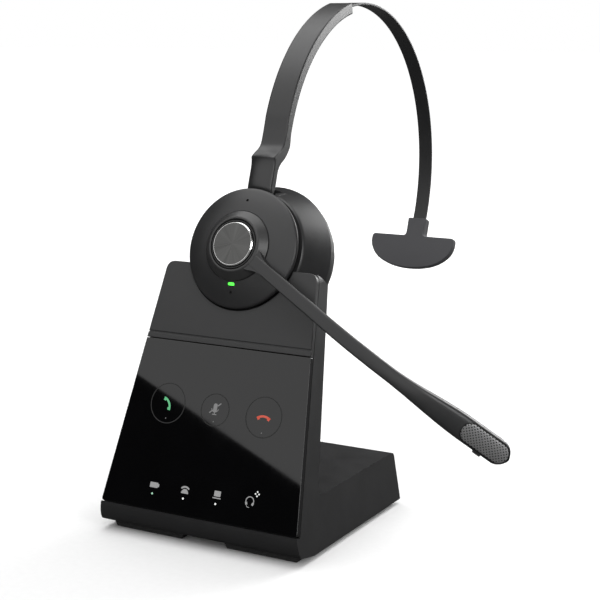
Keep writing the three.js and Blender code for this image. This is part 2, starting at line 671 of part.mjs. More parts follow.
function earcupPieces() {
  const pieces = [frontShell(), rearShell(), ...hubPieces(), speakerHousing(), ...drumContents(),
    earCushion(), ballSocket()];
  const screwAngles = [30, 150, 270];
  screwAngles.forEach((angle, i) => {
    const [x, y] = [14 * Math.cos(degToRad(angle)), 14 * Math.sin(degToRad(angle))];
    const seat = drum.front + gap;
    const profile = [[0, seat], [1.8, seat], [1.8, seat + 1], [0.9, seat + 1], [0.9, seat + 2.6],
      [0, seat + 2.6]];
    pieces.push(piece(`cup_screw_${i + 1}`, turned(profile, 12).translate(x, y, 0), 'steel'));
  });
  for (const [side, name] of [[-1, 'charge_pad_left'], [1, 'charge_pad_right']]) {
    pieces.push(piece(name, chargePad(side), 'gold'));
  }
  return pieces;
}

// ================================================================ headband
function ballSocket() {
  const cavity = ball.radius + gap;
  const half = cavity + ball.socketWall;
  const top = ball.height + 1.75;
  const block = solid(box(-5.4, 5.4, pocket.floor + gap, top, -ball.depth - half, -ball.depth + half));
  const hollow = new THREE.SphereGeometry(cavity, 20, 14).translate(0, ball.height, -ball.depth);
  return piece('ball_socket', cut(block, hollow), 'shell');
}

const stemBall = () => piece('stem_ball',
  new THREE.SphereGeometry(ball.radius, 20, 14).translate(0, ball.height, -ball.depth), 'steel');

const bandPoint = (radius, angle, shift = [0, 0]) => V2(
  band.centreDepth + shift[0] - radius * Math.cos(degToRad(angle)),
  band.centreHeight + shift[1] + radius * Math.sin(degToRad(angle)));

// Stretch of a circle of the band between two angles and two radii, in the side view.
function bandSector(inner, outer, from, to, shift) {
  const steps = Math.max(2, Math.round((to - from) / 3));
  const points = [];
  const angle = (i) => from + ((to - from) * i) / steps;
  for (let i = 0; i <= steps; i += 1) points.push(bandPoint(outer, angle(i), shift));
  for (let i = steps; i >= 0; i -= 1) points.push(bandPoint(inner, angle(i), shift));
  return new THREE.Shape(points);
}

const inBand = (shape, half, bevel = 0) => prism(shape, -half, half, bevel).applyMatrix4(bandView);
const stripClear = 0.3;
const stripHalf = band.stripThickness / 2;
const coverOuter = band.radius - band.thickness + 1.3; // outside of the arm's inner cover

// Side outline of the arm: stem, S-bend and the arc up to its end.
function armOutline() {
  const inner = band.radius - band.thickness;
  const front = ball.depth - 2.6;
  const back = ball.depth + 2.4;
  const stemFoot = ball.height + 4.2;
  const points = [V2(front, stemFoot), V2(front, 40.6), V2(front - 1.2, 42.4), V2(front + 1.4, 45.2),
    V2(front + 4.8, 48), V2(front + 6.2, 52)];
  const steps = Math.round(band.armAngle / 3);
  for (let i = 0; i <= steps; i += 1) points.push(bandPoint(band.radius, (band.armAngle * i) / steps));
  for (let i = steps; i >= 0; i -= 1) points.push(bandPoint(inner, (band.armAngle * i) / steps));
  points.push(V2(15.4, 54), V2(15, 49.6), V2(12.6, 44.8), V2(back + 0.4, 40.4), V2(back - 0.4, 36.8),
    V2(back, stemFoot));
  return new THREE.Shape(points.reverse());
}

function headbandArm() {
  const innerRadius = band.radius - band.thickness;
  const inside = band.stripWidth / 2 + stripClear;
  const stemFoot = ball.height + 4.2;
  const shankEnd = ball.height + ball.radius + gap;
  const shank = new THREE.CylinderGeometry(ball.shank, ball.shank, stemFoot + 1 - shankEnd, 14)
    .translate(0, (stemFoot + 1 + shankEnd) / 2, -ball.depth);
  let body = solid(inBand(armOutline(), band.width / 2, 0.6));
  // channel for the strip, open at the arm's end, and the seat of the inner cover
  const channel = bandSector(band.stripRadius - stripHalf - stripClear,
    band.stripRadius + stripHalf + stripClear, band.armAngle - band.stripOverlap - 12,
    band.armAngle + 3, band.stripShift);
  const seat = bandSector(innerRadius - 2, coverOuter + gap, 8, band.armAngle + 3);
  body = cut(body, inBand(channel, inside), inBand(seat, band.width / 2 - 1.1));
  return piece('headband_arm', join(body, shank), 'satin');
}

function armCover() {
  const innerRadius = band.radius - band.thickness;
  const shape = bandSector(innerRadius, coverOuter, 8 + 0.3, band.armAngle - 0.3);
  return piece('headband_arm_cover', inBand(shape, band.width / 2 - 1.1 - gap), 'satin');
}

function sliderStrip() {
  const shape = bandSector(band.stripRadius - stripHalf, band.stripRadius + stripHalf,
    band.armAngle - band.stripOverlap, band.stripEnd, band.stripShift);
  return piece('slider_strip', inBand(shape, band.stripWidth / 2), 'satin');
}

function padOutline(inset) {
  const [left, right] = [pad.offset - pad.width / 2 + inset, pad.offset + pad.width / 2 - inset];
  const [top, bottom] = [pad.top - inset, pad.bottom + inset];
  const corner = 4.5;
  const shape = new THREE.Shape();
  shape.moveTo(left + corner, top);
  shape.quadraticCurveTo(left, top, left, top - corner);
  shape.bezierCurveTo(left + 2, bottom + 3, pad.offset - pad.width / 4.8, bottom, pad.offset, bottom);
  shape.bezierCurveTo(pad.offset + pad.width / 4.8, bottom, right - 2, bottom + 3, right, top - corner);
  shape.quadraticCurveTo(right, top, right - corner, top);
  return shape;
}

function headPad() {
  const [face, seam] = [-pad.innerDepth, -pad.innerDepth - pad.cushion];
  const soft = prism(padOutline(0), seam, face, 1.1);
  const back = seam - gap - pad.frame;
  const neckHalf = pad.neckWidth / 2;
  const neck = box(-neckHalf, neckHalf, pad.top + gap, pad.top + 10.5, back, -pad.innerDepth + 0.4);
  const root = box(-neckHalf, neckHalf, pad.top - 6, pad.top + 3, back, seam - gap);
  let frame = join(solid(prism(padOutline(1.4), back, seam - gap, 0.6)), neck, root);
  const half = stripHalf + stripClear;
  const slot = bandSector(band.stripRadius - half, band.stripRadius + half, 165,
    band.stripEnd + 0.5, band.stripShift);
  frame = cut(frame, inBand(slot, band.stripWidth / 2 + stripClear));
  return [piece('t_pad_frame', frame, 'shell'), piece('t_pad_cushion', soft, 'rubber')];
}

// ================================================================ microphone boom
// Centreline of the boom: distance from the hub's axis and depth, at a length along it.
const boomAxisDepth = boom.outerFace - boom.thickness / 2;
function boomLine(length) {
  const bend = degToRad(boom.bendAngle);
  if (length <= boom.straight) return { at: V2(length, boomAxisDepth), tilt: 0 };
  const tilt = Math.min((length - boom.straight) / boom.bendRadius, bend);
  const rest = length - boom.straight - boom.bendRadius * tilt;
  const out = boom.straight + boom.bendRadius * Math.sin(tilt) + rest * Math.cos(tilt);
  const deep = boomAxisDepth - boom.bendRadius * (1 - Math.cos(tilt)) - rest * Math.sin(tilt);
  return { at: V2(out, deep), tilt };
}

const smooth = (from, to, value) => THREE.MathUtils.smoothstep(value, from, to);
const halfThickness = (length) => boom.thickness / 2
  + (boom.tipThickness - boom.thickness) / 2 * smooth(30, boom.length - 25, length);
const halfWidth = (length) => boom.hubWidth / 2
  + (boom.middleWidth - boom.hubWidth) / 2 * smooth(10, boom.length - 60, length)
  + (boom.tipWidth - boom.middleWidth) / 2 * smooth(boom.length - 62, boom.length - 22, length);

// Side view of a layer of the boom: shares of its half-thickness below and above the centreline.
function boomSide(from, to, low, high) {
  const steps = 22;
  const edge = (share) => Array.from({ length: steps + 1 }, (_, i) => {
    const length = from + ((to - from) * i) / steps;
    const { at, tilt } = boomLine(length);
    const offset = share * halfThickness(length);
    return V2(at.x + offset * Math.sin(tilt), at.y + offset * Math.cos(tilt));
  });
  return new THREE.Shape([...edge(low), ...edge(high).reverse()]);
}

// Plan view of the boom, seen along the hub's axis, narrowed by an inset.
function boomPlan(from, to, inset) {
  const steps = 20;
  const reach = boomLine(to).at.x - inset;
  const roundFrom = reach - (halfWidth(to) - inset);
  const points = [];
  for (let i = 0; i <= steps; i += 1) {
    const length = from + ((to - from) * i) / steps;
    const x = boomLine(length).at.x;
    if (x < roundFrom) points.push(V2(x, halfWidth(length) - inset));
  }
  for (let i = 0; i <= 4; i += 1) {
    const angle = (Math.PI / 2) * (i / 4);
    const radius = halfWidth(to) - inset;
    points.push(V2(roundFrom + radius * Math.sin(angle), radius * Math.cos(angle)));
  }
  const mirrored = points.slice(0, -1).reverse().map((point) => V2(point.x, -point.y));
  return new THREE.Shape([...points, ...mirrored].reverse());
}

const boomSideView = new THREE.Matrix4().makeBasis(
  new THREE.Vector3(1, 0, 0), new THREE.Vector3(0, 0, 1), new THREE.Vector3(0, -1, 0));

function boomLayer(from, to, low, high, inset) {
  return solid(prism(boomSide(from, to, low, high), -20, 20), boomSideView)
    .intersect(solid(prism(boomPlan(from, to, inset), -90, 30)));
}

const split = -0.45; // share of the half-thickness where the inner cover begins
const mic = { from: boom.length - 24, to: boom.length - 0.4, radius: 2.2 };

function boomArm() {
  const hubInner = hub.bushingRadius + gap;
  const hubLow = disc.hubBase + gap;
  const hubRing = solid(turned([
    [hubInner, hubLow], [disc.hubRadius - 0.1, hubLow], [hub.rimRadius + 0.2, hub.top - 0.3],
    [hub.rimRadius - 0.3, hub.top], [hubInner, hub.top]], 48));
  const root = hubInner + 0.6;
  const arm = boomLayer(root, boom.length, split, 1, 0);
  const underside = solid(box(root, disc.radius + 2, -boom.hubWidth / 2, boom.hubWidth / 2,
    hubLow, boom.outerFace - 1));
  const channel = boomLayer(disc.radius + 4, boom.length - 5, -1.2, 0.15, 1.2);
  const bore = solid(cylinder(hubInner, 0, 20, 0, 0, 48));
  const grilleSeat = boomLayer(mic.from - gap, mic.to + gap, 0.6, 1.5, 0.8);
  let body = arm.add(underside).add(hubRing).subtract(channel).subtract(bore).subtract(grilleSeat);
  body = body.subtract(solid(muteKey(gap)));
  return piece('boom_arm', body, 'satin');
}

const boomCover = () => piece('boom_cover',
  boomLayer(disc.radius + 5, boom.length - 1.2, -1, split - gap / 1.65, 0.25), 'shell');

function boomFlex() {
  const steps = 18;
  const [from, to] = [disc.radius + 8, boom.length - 24];
  const side = (offset) => Array.from({ length: steps + 1 }, (_, i) => {
    const { at, tilt } = boomLine(from + ((to - from) * i) / steps);
    return V2(at.x + offset * Math.sin(tilt), at.y + offset * Math.cos(tilt));
  });
  const shape = new THREE.Shape([...side(-0.45), ...side(-0.15).reverse()]);
  return piece('boom_flex', prism(shape, -1, 1).applyMatrix4(boomSideView), 'board');
}

// Moves a geometry built about the origin to the boom's centreline, tilted with it.
function atBoom(geometry, length, offset) {
  const { at, tilt } = boomLine(length);
  geometry.translate(0, 0, offset).rotateY(tilt);
  return geometry.translate(at.x, 0, at.y);
}

function micPieces() {
  const capsule = atBoom(cylinder(mic.radius, -1.4, 0.1, 0, 0, 20), boom.length - 11, 0);
  const grille = boomLayer(mic.from, mic.to, 0.71, 0.97, 1.1);
  return [piece('mic_capsule', capsule, 'steel'), piece('mic_grille', grille, 'brushed')];
}

const mute = { at: boom.length - 12, length: 3.9, height: 1.8, sunk: 1.3, proud: 0.8, offset: 0.3 };
function muteKey(extra = 0) {
  const edge = halfWidth(mute.at);
  const shape = roundedRectangle(mute.length + 2 * extra, mute.height + 2 * extra, 0.7);
  const key = prism(shape, edge - mute.sunk - extra, edge + (extra > 0 ? 4 : mute.proud), 0, 3);
  key.rotateX(Math.PI / 2);
  return atBoom(key, mute.at, mute.offset);
}

// ================================================================ assembly
function assembleHeadset() {
  const headset = new THREE.Group();
  headset.applyMatrix4(headsetFrame);
  headset.add(...earcupPieces());
  for (const [angle, name] of [[volumeAngles[0], 'volume_up_key'], [volumeAngles[1], 'volume_down_key']]) {
    headset.add(piece(name, volumeKey(angle), 'shell'));
  }
  headset.add(stemBall(), headbandArm(), armCover(), sliderStrip(), ...headPad());
  const turn = new THREE.Group();
  turn.rotation.z = degToRad(boom.restAngle);
  turn.add(boomArm(), boomCover(), boomFlex(), ...micPieces(), piece('mute_button', muteKey(), 'shell'));
  headset.add(turn);
  return headset;
}

function assembleBase() {
  const dock = new THREE.Group();
  dock.add(...dockPieces());
  const panel = new THREE.Group();
  panel.applyMatrix4(panelFrame);
  panel.add(...panelPieces());
  const seat = new THREE.Group();
  seat.applyMatrix4(headsetFrame);
  seat.add(cradleCup(), piece('charge_contact_left', contactPin(-1), 'gold'),
    piece('charge_contact_right', contactPin(1), 'gold'));
  dock.add(panel, seat);
  return dock;
}

const officeHeadset = new THREE.Group();
officeHeadset.add(assembleBase(), assembleHeadset());

// The part's origin is the middle of its box, at the desk.
officeHeadset.updateMatrixWorld(true);
const extent = new THREE.Box3().setFromObject(officeHeadset, true);
const middle = extent.getCenter(new THREE.Vector3());
officeHeadset.position.set(-middle.x, -middle.y, -extent.min.z);

export default officeHeadset;
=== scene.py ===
"""Looks of a mono office headset resting in its upright charging base.

Every piece is built in millimetres on the axes of the sub-assembly that it belongs to, and is
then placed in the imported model's frame, in metres, with its object at the origin.
"""

from __future__ import annotations

import json
import logging
import math
from dataclasses import dataclass, field
from enum import Enum
from typing import Callable, Sequence

import bmesh
import bpy
from mathutils import Matrix, Vector


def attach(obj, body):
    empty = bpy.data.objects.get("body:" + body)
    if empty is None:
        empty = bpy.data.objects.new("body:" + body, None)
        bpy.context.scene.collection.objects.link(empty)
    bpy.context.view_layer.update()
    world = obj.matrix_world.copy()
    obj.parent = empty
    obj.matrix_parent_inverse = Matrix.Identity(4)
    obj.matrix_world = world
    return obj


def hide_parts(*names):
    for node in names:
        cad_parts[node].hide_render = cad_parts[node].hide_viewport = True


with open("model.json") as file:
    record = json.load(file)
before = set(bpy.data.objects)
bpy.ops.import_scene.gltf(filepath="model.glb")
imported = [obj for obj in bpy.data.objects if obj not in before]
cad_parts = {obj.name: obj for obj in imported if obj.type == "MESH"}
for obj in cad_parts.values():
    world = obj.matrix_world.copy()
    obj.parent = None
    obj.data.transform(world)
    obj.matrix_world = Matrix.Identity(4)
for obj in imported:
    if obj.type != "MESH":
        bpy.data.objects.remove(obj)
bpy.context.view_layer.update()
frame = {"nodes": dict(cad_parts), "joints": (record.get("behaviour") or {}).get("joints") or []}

LOG = logging.getLogger("headset")
MM = 0.001
Point = tuple[float, float]
Corner = tuple[float, float, float]
Colour = tuple[float, float, float]


# ---------------------------------------------------------------------------- places
@dataclass(frozen=True)
class Axes:
    """A place on the object with its own axes, on which pieces are built in millimetres.

    Args:
        origin: the place in the model's frame, in metres.
        right: unit vector of the place's X.
        up: unit vector of its Y.
        out: unit vector of its Z.
    """

    origin: Vector
    right: Vector
    up: Vector
    out: Vector

    def matrix(self) -> Matrix:
        """Matrix that takes millimetres on these axes to metres in the model's frame."""
        turn = Matrix((self.right, self.up, self.out)).transposed().to_4x4()
        return Matrix.Translation(self.origin) @ turn @ Matrix.Scale(MM, 4)

    def at(self, x: float, y: float, z: float) -> Vector:
        """Point of the model's frame at a place on these axes."""
        return self.matrix() @ Vector((x, y, z))

    def moved(self, x: float, y: float, z: float) -> Axes:
        """The same axes with the origin moved along them, in millimetres."""
        return Axes(self.at(x, y, z), self.right, self.up, self.out)

    def turned(self, degrees: float) -> Axes:
        """The same place with the axes turned about the one that points out."""
        turn = Matrix.Rotation(math.radians(degrees), 3, self.out)
        return Axes(self.origin, turn @ self.right, turn @ self.up, self.out)


def joint(name: str) -> dict:
    """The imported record's joint of that name."""
    return next(j for j in frame["joints"] if j["name"] == name)


def hub_axes() -> Axes:
    """Axes of the earcup: the hub's centre on the disc's rim plane, facing out.

    Returns:
        Axes whose up runs along the base's panel and whose out is the boom's own axis.
    """
    out = Vector(joint("boom_turn")["axis"]).normalized()
    up = Vector(joint("headset_lift")["axis"]).normalized()
    pivot = Vector(joint("boom_turn")["pos_m"])
    return Axes(pivot - out * 6.7 * MM, up.cross(out), up, out)


HUB = hub_axes()
PANEL = HUB.moved(0, -118.65, -1)
DESK = Axes(PANEL.origin - Vector((0, 0, 13.6 * MM)), Vector((1, 0, 0)), Vector((0, 1, 0)),
            Vector((0, 0, 1)))
BOOM = HUB.turned(-30.4)


class Body(Enum):
    """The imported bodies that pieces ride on."""

    BASE = "base"
    EARCUP = "earcup"
    BOOM = "boom"
    MUTE = "mute_button"
    TALK = "talk_button"
    VOLUME_UP = "volume_up"
    VOLUME_DOWN = "volume_down"
    BALL = "band_ball"
    HEADBAND = "headband"
    SLIDER = "slider"


# ---------------------------------------------------------------------------- outlines
def eased(corners: Sequence[Corner], closed: bool = True, steps: int = 6) -> list[Point]:
    """Outline through corners, each of them rounded.

    Args:
        corners: (x, y, radius) of each corner; a radius of 0 keeps it sharp.
        closed: whether the last corner joins the first.
        steps: number of straight pieces in each rounding.

    Returns:
        The outline's points in order.
    """
    points: list[Point] = []
    count = len(corners)
    for i, (x, y, radius) in enumerate(corners):
        here = Vector((x, y))
        if radius <= 0 or (not closed and i in (0, count - 1)):
            points.append((x, y))
            continue
        before = Vector(corners[i - 1][:2]) - here
        after = Vector(corners[(i + 1) % count][:2]) - here
        opening = max(before.angle(after), 0.05)
        reach = min(radius / math.tan(opening / 2), 0.49 * before.length, 0.49 * after.length)
        start, end = here + before.normalized() * reach, here + after.normalized() * reach
        for step in range(steps + 1):
            t = step / steps
            spot = start * (1 - t) ** 2 + here * (2 * t * (1 - t)) + end * t * t
            points.append((spot.x, spot.y))
    return points


def arc(x: float, y: float, radius: float, start: float, end: float, steps: int) -> list[Point]:
    """Points of a circle's arc between two angles in degrees."""
    return [(x + radius * math.cos(math.radians(start + (end - start) * i / steps)),
             y + radius * math.sin(math.radians(start + (end - start) * i / steps)))
            for i in range(steps + 1)]


def round_box(width: float, height: float, radius: float, x: float = 0, y: float = 0,
              steps: int = 6) -> list[Point]:
    """Outline of a rectangle with rounded corners about a centre."""
    a, b = width / 2, height / 2
    return eased([(x - a, y - b, radius), (x + a, y - b, radius), (x + a, y + b, radius),
                  (x - a, y + b, radius)], steps=steps)


def spline(points: Sequence[Sequence[float]], steps: int) -> list[list[float]]:
    """Smooth curve through points of any number of values each.

    Args:
        points: values that the curve passes through.
        steps: number of pieces between two of them.

    Returns:
        The values along the curve.
    """
    padded = [points[0], *points, points[-1]]
    curve: list[list[float]] = []
    for a, b, c, d in zip(padded, padded[1:], padded[2:], padded[3:]):
        for step in range(steps):
            t = step / steps
            curve.append([0.5 * (2 * q + (r - p) * t + (2 * p - 5 * q + 4 * r - s) * t * t
                                 + (3 * q - p - 3 * r + s) * t ** 3)
                          for p, q, r, s in zip(a, b, c, d)])
    curve.append(list(points[-1]))
    return curve


def smooth(low: float, high: float, value: float) -> float:
    """Share from 0 to 1 of the way from low to high, eased at both ends."""
    t = min(1.0, max(0.0, (value - low) / (high - low)))
    return t * t * (3 - 2 * t)


# ---------------------------------------------------------------------------- forms
class Form:
    """A mesh in the making, in millimetres, shaped with bmesh operators."""

    def __init__(self) -> None:
        """Starts with nothing in it."""
        self.bm = bmesh.new()

    @staticmethod
    def of_node(node: str) -> Form:
        """A merged copy of a CAD node's mesh, in millimetres of the model's frame.

        Args:
            node: name of the CAD node.

        Returns:
            The copy, with its flat areas made whole again.
        """
        form = Form()
        form.bm.from_mesh(frame["nodes"][node].data)
        bmesh.ops.scale(form.bm, vec=(1 / MM,) * 3, verts=form.bm.verts)
        bmesh.ops.remove_doubles(form.bm, verts=form.bm.verts, dist=0.004)
        bmesh.ops.dissolve_limit(form.bm, angle_limit=math.radians(1.2), verts=form.bm.verts,
                                 edges=form.bm.edges, use_dissolve_boundaries=False)
        return form

    def turned(self, profile: Sequence[Point], steps: int = 160, closed: bool = False) -> Form:
        """Adds a profile of (radius, height) points spun about Z."""
        verts = [self.bm.verts.new((radius, 0.0, height)) for radius, height in profile]
        edges = [self.bm.edges.new(pair) for pair in zip(verts, verts[1:])]
        if closed:
            edges.append(self.bm.edges.new((verts[-1], verts[0])))
        bmesh.ops.spin(self.bm, geom=[*verts, *edges], cent=(0, 0, 0), axis=(0, 0, 1),
                       angle=math.tau, steps=steps, use_merge=True, use_duplicate=False)
        return self.welded()

    def slab(self, outline: Sequence[Point], low: float, high: float) -> Form:
        """Adds a flat-faced prism of an outline between two heights."""
        face = self.bm.faces.new([self.bm.verts.new((x, y, low)) for x, y in outline])
        grown = bmesh.ops.extrude_face_region(self.bm, geom=[face])["geom"]
        tops = [item for item in grown if isinstance(item, bmesh.types.BMVert)]
        bmesh.ops.translate(self.bm, verts=tops, vec=(0, 0, high - low))
        return self.faced()

    def skin(self, along: int, around: int, place: Callable[[float, float], Vector],
             closed: bool = True) -> Form:
        """Adds a surface laid on a grid.

        Args:
            along: number of pieces along the first share.
            around: number of pieces along the second share.
            place: gives the point at two shares from 0 to 1.
            closed: whether the open ends are filled.

        Returns:
            This form.
        """
        grid = bmesh.ops.create_grid(self.bm, x_segments=along, y_segments=around, size=0.5,
                                     calc_uvs=False)["verts"]
        for vert in grid:
            vert.co = place(vert.co.x + 0.5, vert.co.y + 0.5)
        self.welded()
        if closed:
            rim = [edge for edge in self.bm.edges if edge.is_boundary]
            if rim:
                bmesh.ops.holes_fill(self.bm, edges=rim, sides=0)
        return self.faced()

    def pin(self, x: float, y: float, low: float, high: float, radius: float,
            steps: int = 32, top: float | None = None) -> Form:
        """Adds a round pin or cone along Z between two heights."""
        made = bmesh.ops.create_cone(self.bm, cap_ends=True, segments=steps, radius1=radius,
                                     radius2=radius if top is None else top, depth=high - low)
        bmesh.ops.translate(self.bm, verts=made["verts"], vec=(x, y, (low + high) / 2))
        return self

    def block(self, low: Sequence[float], high: Sequence[float]) -> Form:
        """Adds a rectangular block between two corners."""
        made = bmesh.ops.create_cube(self.bm, size=1.0)["verts"]
        bmesh.ops.scale(self.bm, vec=[b - a for a, b in zip(low, high)], verts=made)
        bmesh.ops.translate(self.bm, vec=[(a + b) / 2 for a, b in zip(low, high)], verts=made)
        return self

    def ball(self, x: float, y: float, z: float, radius: float, detail: int = 24) -> Form:
        """Adds a ball."""
        made = bmesh.ops.create_uvsphere(self.bm, u_segments=detail * 2, v_segments=detail,
                                         radius=radius)["verts"]
        bmesh.ops.translate(self.bm, vec=(x, y, z), verts=made)
        return self

    def welded(self, distance: float = 0.002) -> Form:
        """Merges points that meet, then turns the faces outwards."""
        bmesh.ops.remove_doubles(self.bm, verts=self.bm.verts, dist=distance)
        return self.faced()

    def faced(self) -> Form:
        """Turns the faces outwards."""
        bmesh.ops.recalc_face_normals(self.bm, faces=self.bm.faces)
        return self

    def joined(self, other: Form) -> Form:
        """Adds another form, which is used up."""
        mesh = other.mesh("joining")
        self.bm.from_mesh(mesh)
        bpy.data.meshes.remove(mesh)
        return self

    def shifted(self, x: float, y: float, z: float) -> Form:
        """Moves the whole form."""
        bmesh.ops.translate(self.bm, verts=self.bm.verts, vec=(x, y, z))
        return self

    def through(self, matrix: Matrix) -> Form:
        """Takes the whole form through a matrix."""
        bmesh.ops.transform(self.bm, matrix=matrix, verts=self.bm.verts)
        return self

    def bevelled(self, width: float, segments: int = 2, over: float = 30.0,
                 pick: Callable[[Vector], bool] | None = None) -> Form:
        """Rounds the edges that are sharper than an angle.

        Args:
            width: distance that each rounding takes, in millimetres.
            segments: number of faces across it.
            over: smallest turn between two faces, in degrees, that is rounded.
            pick: chooses edges by their middle point; all of them when left out.

        Returns:
            This form.
        """
        limit = math.radians(over)
        chosen = [edge for edge in self.bm.edges
                  if len(edge.link_faces) == 2 and edge.calc_face_angle(0.0) > limit
                  and (pick is None or pick((edge.verts[0].co + edge.verts[1].co) / 2))]
        bmesh.ops.bevel(self.bm, geom=chosen, offset=width, offset_type="OFFSET",
                        segments=segments, profile=0.5, affect="EDGES", clamp_overlap=True,
                        material=-1)
        return self

    def carved(self, *tools: Form) -> Form:
        """Cuts other forms out of this one.

        Args:
            tools: closed forms on the same axes.

        Returns:
            This form, with their shapes taken out.
        """
        body = bpy.data.objects.new("carving", self.mesh("carving"))
        bpy.context.scene.collection.objects.link(body)
        cutters = []
        for tool in tools:
            cutter = bpy.data.objects.new("cutter", tool.mesh("cutter"))
            bpy.context.scene.collection.objects.link(cutter)
            cutters.append(cutter)
            cut = body.modifiers.new("cut", "BOOLEAN")
            cut.operation, cut.solver, cut.object = "DIFFERENCE", "EXACT", cutter
        bpy.context.view_layer.update()
        result = bpy.data.meshes.new_from_object(
            body.evaluated_get(bpy.context.evaluated_depsgraph_get()))
        self.bm = bmesh.new()
        self.bm.from_mesh(result)
        for spare in (body, *cutters):
            mesh = spare.data
            bpy.data.objects.remove(spare)
            bpy.data.meshes.remove(mesh)
        bpy.data.meshes.remove(result)
        return self

    def mesh(self, name: str, crease: float = 35.0) -> bpy.types.Mesh:
        """Ends the form as a mesh with its sharp edges marked.

        Args:
            name: name of the mesh.
            crease: edges that turn more than this many degrees stay sharp.

        Returns:
            The mesh, in the units that the form was built in.
        """
        limit = math.radians(crease)
        for face in self.bm.faces:
            face.smooth = True
        for edge in self.bm.edges:
            edge.smooth = len(edge.link_faces) == 2 and edge.calc_face_angle(0.0) < limit
        mesh = bpy.data.meshes.new(name)
        self.bm.to_mesh(mesh)
        self.bm.free()
        return mesh


@dataclass
class Piece:
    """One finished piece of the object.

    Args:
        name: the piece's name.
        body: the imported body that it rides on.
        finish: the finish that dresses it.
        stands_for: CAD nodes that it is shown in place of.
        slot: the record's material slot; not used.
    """

    name: str
    body: Body
    finish: Finish
    stands_for: tuple[str, ...] = ()
    slot: str | None = None

    def place(self, form: Form, axes: Axes | None, crease: float = 35.0,
              even: bool = True) -> bpy.types.Object:
        """Makes the object, with its place in its mesh.

        Args:
            form: the shape, in millimetres.
            axes: the axes that it was built on, or none for the model's own frame.
            crease: edges that turn more than this many degrees stay sharp.
            even: whether flat faces keep flat shading beside rounded edges.

        Returns:
            The object, which already rides on its body.
        """
        form.through(axes.matrix() if axes else Matrix.Scale(MM, 4))
        item = bpy.data.objects.new(self.name, form.mesh(self.name, crease))
        bpy.context.scene.collection.objects.link(item)
        return self.dress(item, even)

    def dress(self, item: bpy.types.Object, even: bool = False) -> bpy.types.Object:
        """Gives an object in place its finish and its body."""
        item.data.materials.clear()
        item.data.materials.append(self.finish.material())
        if even:
            item.modifiers.new("even", "WEIGHTED_NORMAL").keep_sharp = True
        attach(item, self.body.value)
        if self.stands_for:
            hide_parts(*self.stands_for)
        LOG.info("%s: %d faces, rides on %s", self.name, len(item.data.polygons),
                 self.body.value)
        return item


